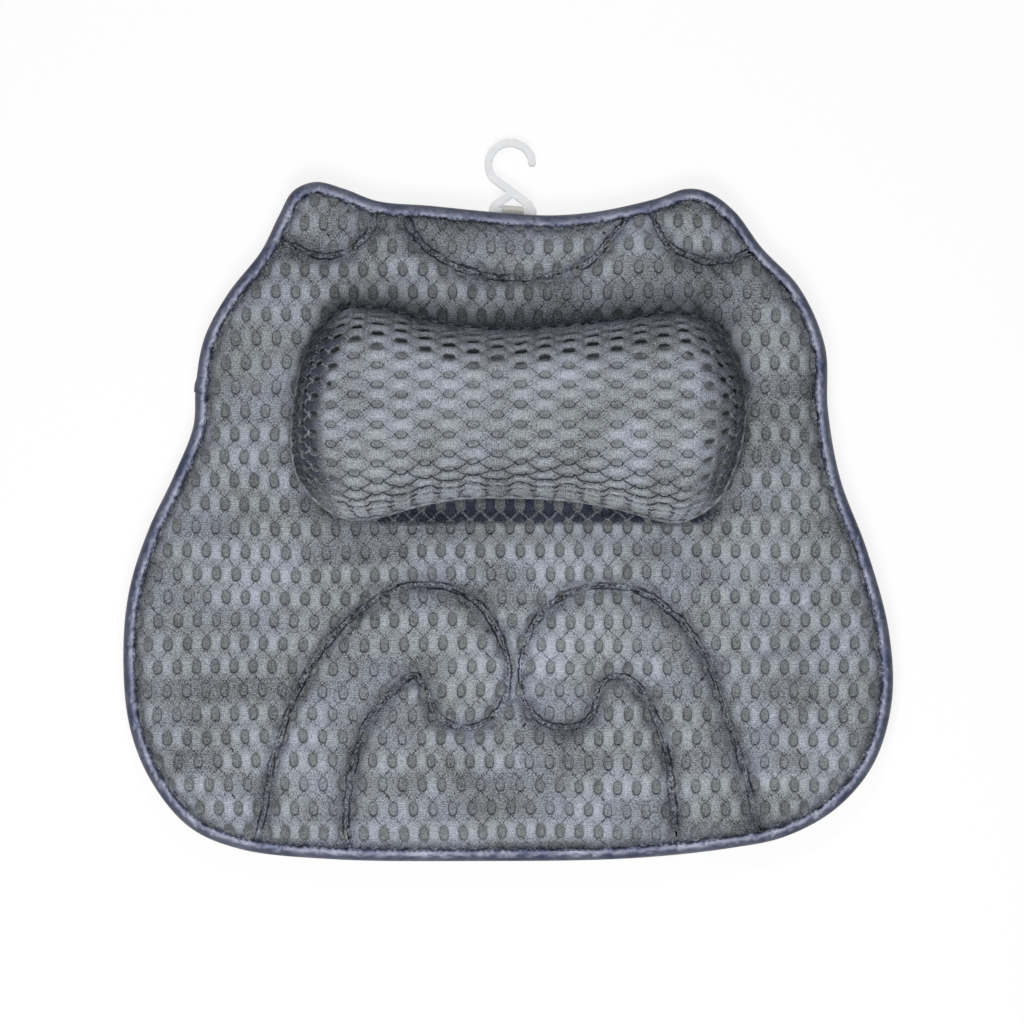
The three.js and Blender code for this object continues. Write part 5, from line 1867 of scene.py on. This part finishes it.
# Moulded plastic: smooth, with a faint waviness from the mould.
def makeMoulded(name, base, rough, transmission, ior, depth):
    material, tree = newMaterial(name)
    place = addNode(tree, "TexCoord").outputs["Object"]
    wavy = addNode(tree, "TexNoise", {"Scale": 260, "Detail": 1.0}, {0: place})
    roughNoise = addNode(tree, "TexNoise", {"Scale": 90, "Detail": 2.0}, {0: place})
    roughMap = addNode(tree, "MapRange", {"To Min": rough * 0.8, "To Max": rough * 1.25}, {0: roughNoise})
    bump = addNode(tree, "Bump", {"Strength": 0.3, "Distance": depth * mm}, {"Height": wavy})
    shader = addNode(
        tree, "BsdfPrincipled",
        {"Base Color": linear(base), "IOR": ior, "Transmission Weight": transmission},
        {"Roughness": roughMap, "Normal": bump},
    )
    finishMaterial(tree, shader)
    return material


# Twisted polyester thread: a slight gloss, with the ply's spiral as fine stripes.
def makeThreadCloth(name, base, other):
    material, tree = newMaterial(name)
    place = addNode(tree, "TexCoord").outputs["Object"]
    grain = addNode(tree, "TexNoise", {"Scale": 2400, "Detail": 1.0}, {0: place})
    colour = addNode(tree, "Mix RGBA", {6: linear(base), 7: linear(other)}, {0: grain})
    bump = addNode(tree, "Bump", {"Strength": 0.5, "Distance": 0.08 * mm}, {"Height": grain})
    shader = addNode(
        tree, "BsdfPrincipled", {"Roughness": 0.6, "Specular IOR Level": 0.4},
        {"Base Color": colour, "Normal": bump},
    )
    finishMaterial(tree, shader)
    return material


navyThread = makeThreadCloth("twistedThread", "#23273a", "#454a60")
# Polypropylene webbing has coarse, dull yarns, the polyester ribbon is fine and has a slight sheen, and the
# spacer knit and the loose fibre are dull and open.
webbingCloth = makePlainCloth("wovenWebbing", "#4b505c", "#6a707d", 1.3, 0.85, 0.25)
ribbonCloth = makePlainCloth("wovenRibbon", "#efece4", "#fbfaf5", 0.9, 0.65, 0.12)
spacerCloth = makePlainCloth("spacerKnit", "#8f959a", "#aab0b4", 2.2, 0.95, 0.4)
fibre = makePlainCloth("polyesterFibre", "#dadad6", "#f0f0ec", 3.4, 0.95, 0.6)
# The hook lets some light in and looks milky. The cups are clear and glossy.
whitePlastic = makeMoulded("mouldedPolypropylene", "#fbfcfe", 0.3, 0.7, 1.49, 0.05)
clearPvc = makeMoulded("softClearPvc", "#e4ebee", 0.12, 0.85, 1.53, 0.05)

padMesh = makeAirMesh("airMeshKnit", (0, -1), 0.94, 0.92, 0.3, 0.6, "#878a92", 1.0)
coverMesh = makeAirMesh("airMeshKnitTurned", (1, 0), 0.78, 0.8, 0.9, 1.4, "#8d9097", 0.45)
satin = makeSatin()
finishes = [
    (padMesh, [frontPanel, backPanel, pillowBack, pillowWelt]),
    (coverMesh, [pillowCover]),
    (satin, [edgeBinding]),
    (navyThread, [seamThread, hemThread, strapThread]),
    (webbingCloth, straps),
    (clearPvc, cups),
    (ribbonCloth, [ribbonLoop]),
    (whitePlastic, [hangingHook]),
    (spacerCloth, [spacerCore]),
    (fibre, [pillowFilling]),
]
for material, dressed in finishes:
    for piece in dressed:
        piece.data.materials.clear()
        piece.data.materials.append(material)

# The floor, the camera straight above, and soft studio light.
studio = {
    "floorHalf": 3.0,
    "cameraHeight": 2.6,
    "field": 0.613,  # the width that the picture shows at the pad's height
    "aim": (2.4, 5.7),  # from the pad's middle
    "ambient": 0.16,
    "lamps": {  # size, energy, azimuth, elevation and distance
        "keyBox": (0.5, 9.3, 190, 66, 1.2),
        "backBox": (0.3, 8.8, 356, 50, 2.0),
    },
}


def makeFloor():
    bpy.ops.object.select_all(action="DESELECT")
    bpy.ops.mesh.primitive_plane_add(size=2 * studio["floorHalf"], location=(0, 0, -0.0005))
    floor = bpy.context.object
    floor.name = "floor"
    material, tree = newMaterial("paleFloor")
    path = addNode(tree, "LightPath")
    seen = addNode(
        tree, "Math MAXIMUM", {}, {0: path.outputs["Is Camera Ray"], 1: path.outputs["Is Glossy Ray"]}
    )
    seenAny = addNode(tree, "Math MAXIMUM", {}, {0: seen, 1: path.outputs["Is Transmission Ray"]})
    share = addNode(tree, "Math MULTIPLY", {1: 0.8}, {0: seenAny})
    diffuse = addNode(tree, "BsdfDiffuse", {"Color": linear("#f2f2f2")})
    glow = addNode(tree, "Emission", {"Color": (1, 1, 1, 1), "Strength": 1.06})
    mixed = addNode(tree, "MixShader", {}, {0: share, 1: diffuse, 2: glow})
    finishMaterial(tree, mixed)
    floor.data.materials.append(material)


def makeCamera():
    data = bpy.data.cameras.new("camera")
    camera = bpy.data.objects.new("camera", data)
    bpy.context.scene.collection.objects.link(camera)
    data.sensor_width = 36
    data.lens = data.sensor_width * (studio["cameraHeight"] - pad["edgeTop"] * mm) / studio["field"]
    aim = (padMiddle + np.array(studio["aim"])) * mm
    camera.location = (aim[0], aim[1], studio["cameraHeight"])
    bpy.context.scene.camera = camera


# A square soft box that shines on the pad; azimuth is where it stands, from +Y clockwise.
def addLamp(name, size, energy, azimuth, elevation, distance):
    data = bpy.data.lights.new(name, "AREA")
    data.size = size
    data.energy = energy
    lamp = bpy.data.objects.new(name, data)
    bpy.context.scene.collection.objects.link(lamp)
    turn, rise = math.radians(azimuth), math.radians(elevation)
    away = Vector((math.sin(turn) * math.cos(rise), math.cos(turn) * math.cos(rise), math.sin(rise)))
    lamp.location = away * distance
    lamp.rotation_euler = (-away).to_track_quat("-Z", "Y").to_euler()


def makeWorld():
    world = bpy.data.worlds.new("studio")
    world.use_nodes = True
    tree = world.node_tree
    tree.nodes.clear()
    path = addNode(tree, "LightPath")
    ambient = addNode(tree, "Background", {"Color": (1, 1, 1, 1), "Strength": studio["ambient"]})
    white = addNode(tree, "Background", {"Color": (1, 1, 1, 1), "Strength": 1.0})
    mixed = addNode(tree, "MixShader", {}, {0: path.outputs["Is Camera Ray"], 1: ambient, 2: white})
    addNode(tree, "OutputWorld", {}, {"Surface": mixed})
    bpy.context.scene.world = world


makeFloor()
makeCamera()
makeWorld()
for name, settings in studio["lamps"].items():
    addLamp(name, *settings)
bpy.context.scene.view_settings.view_transform = "Standard"

print("scene ready")
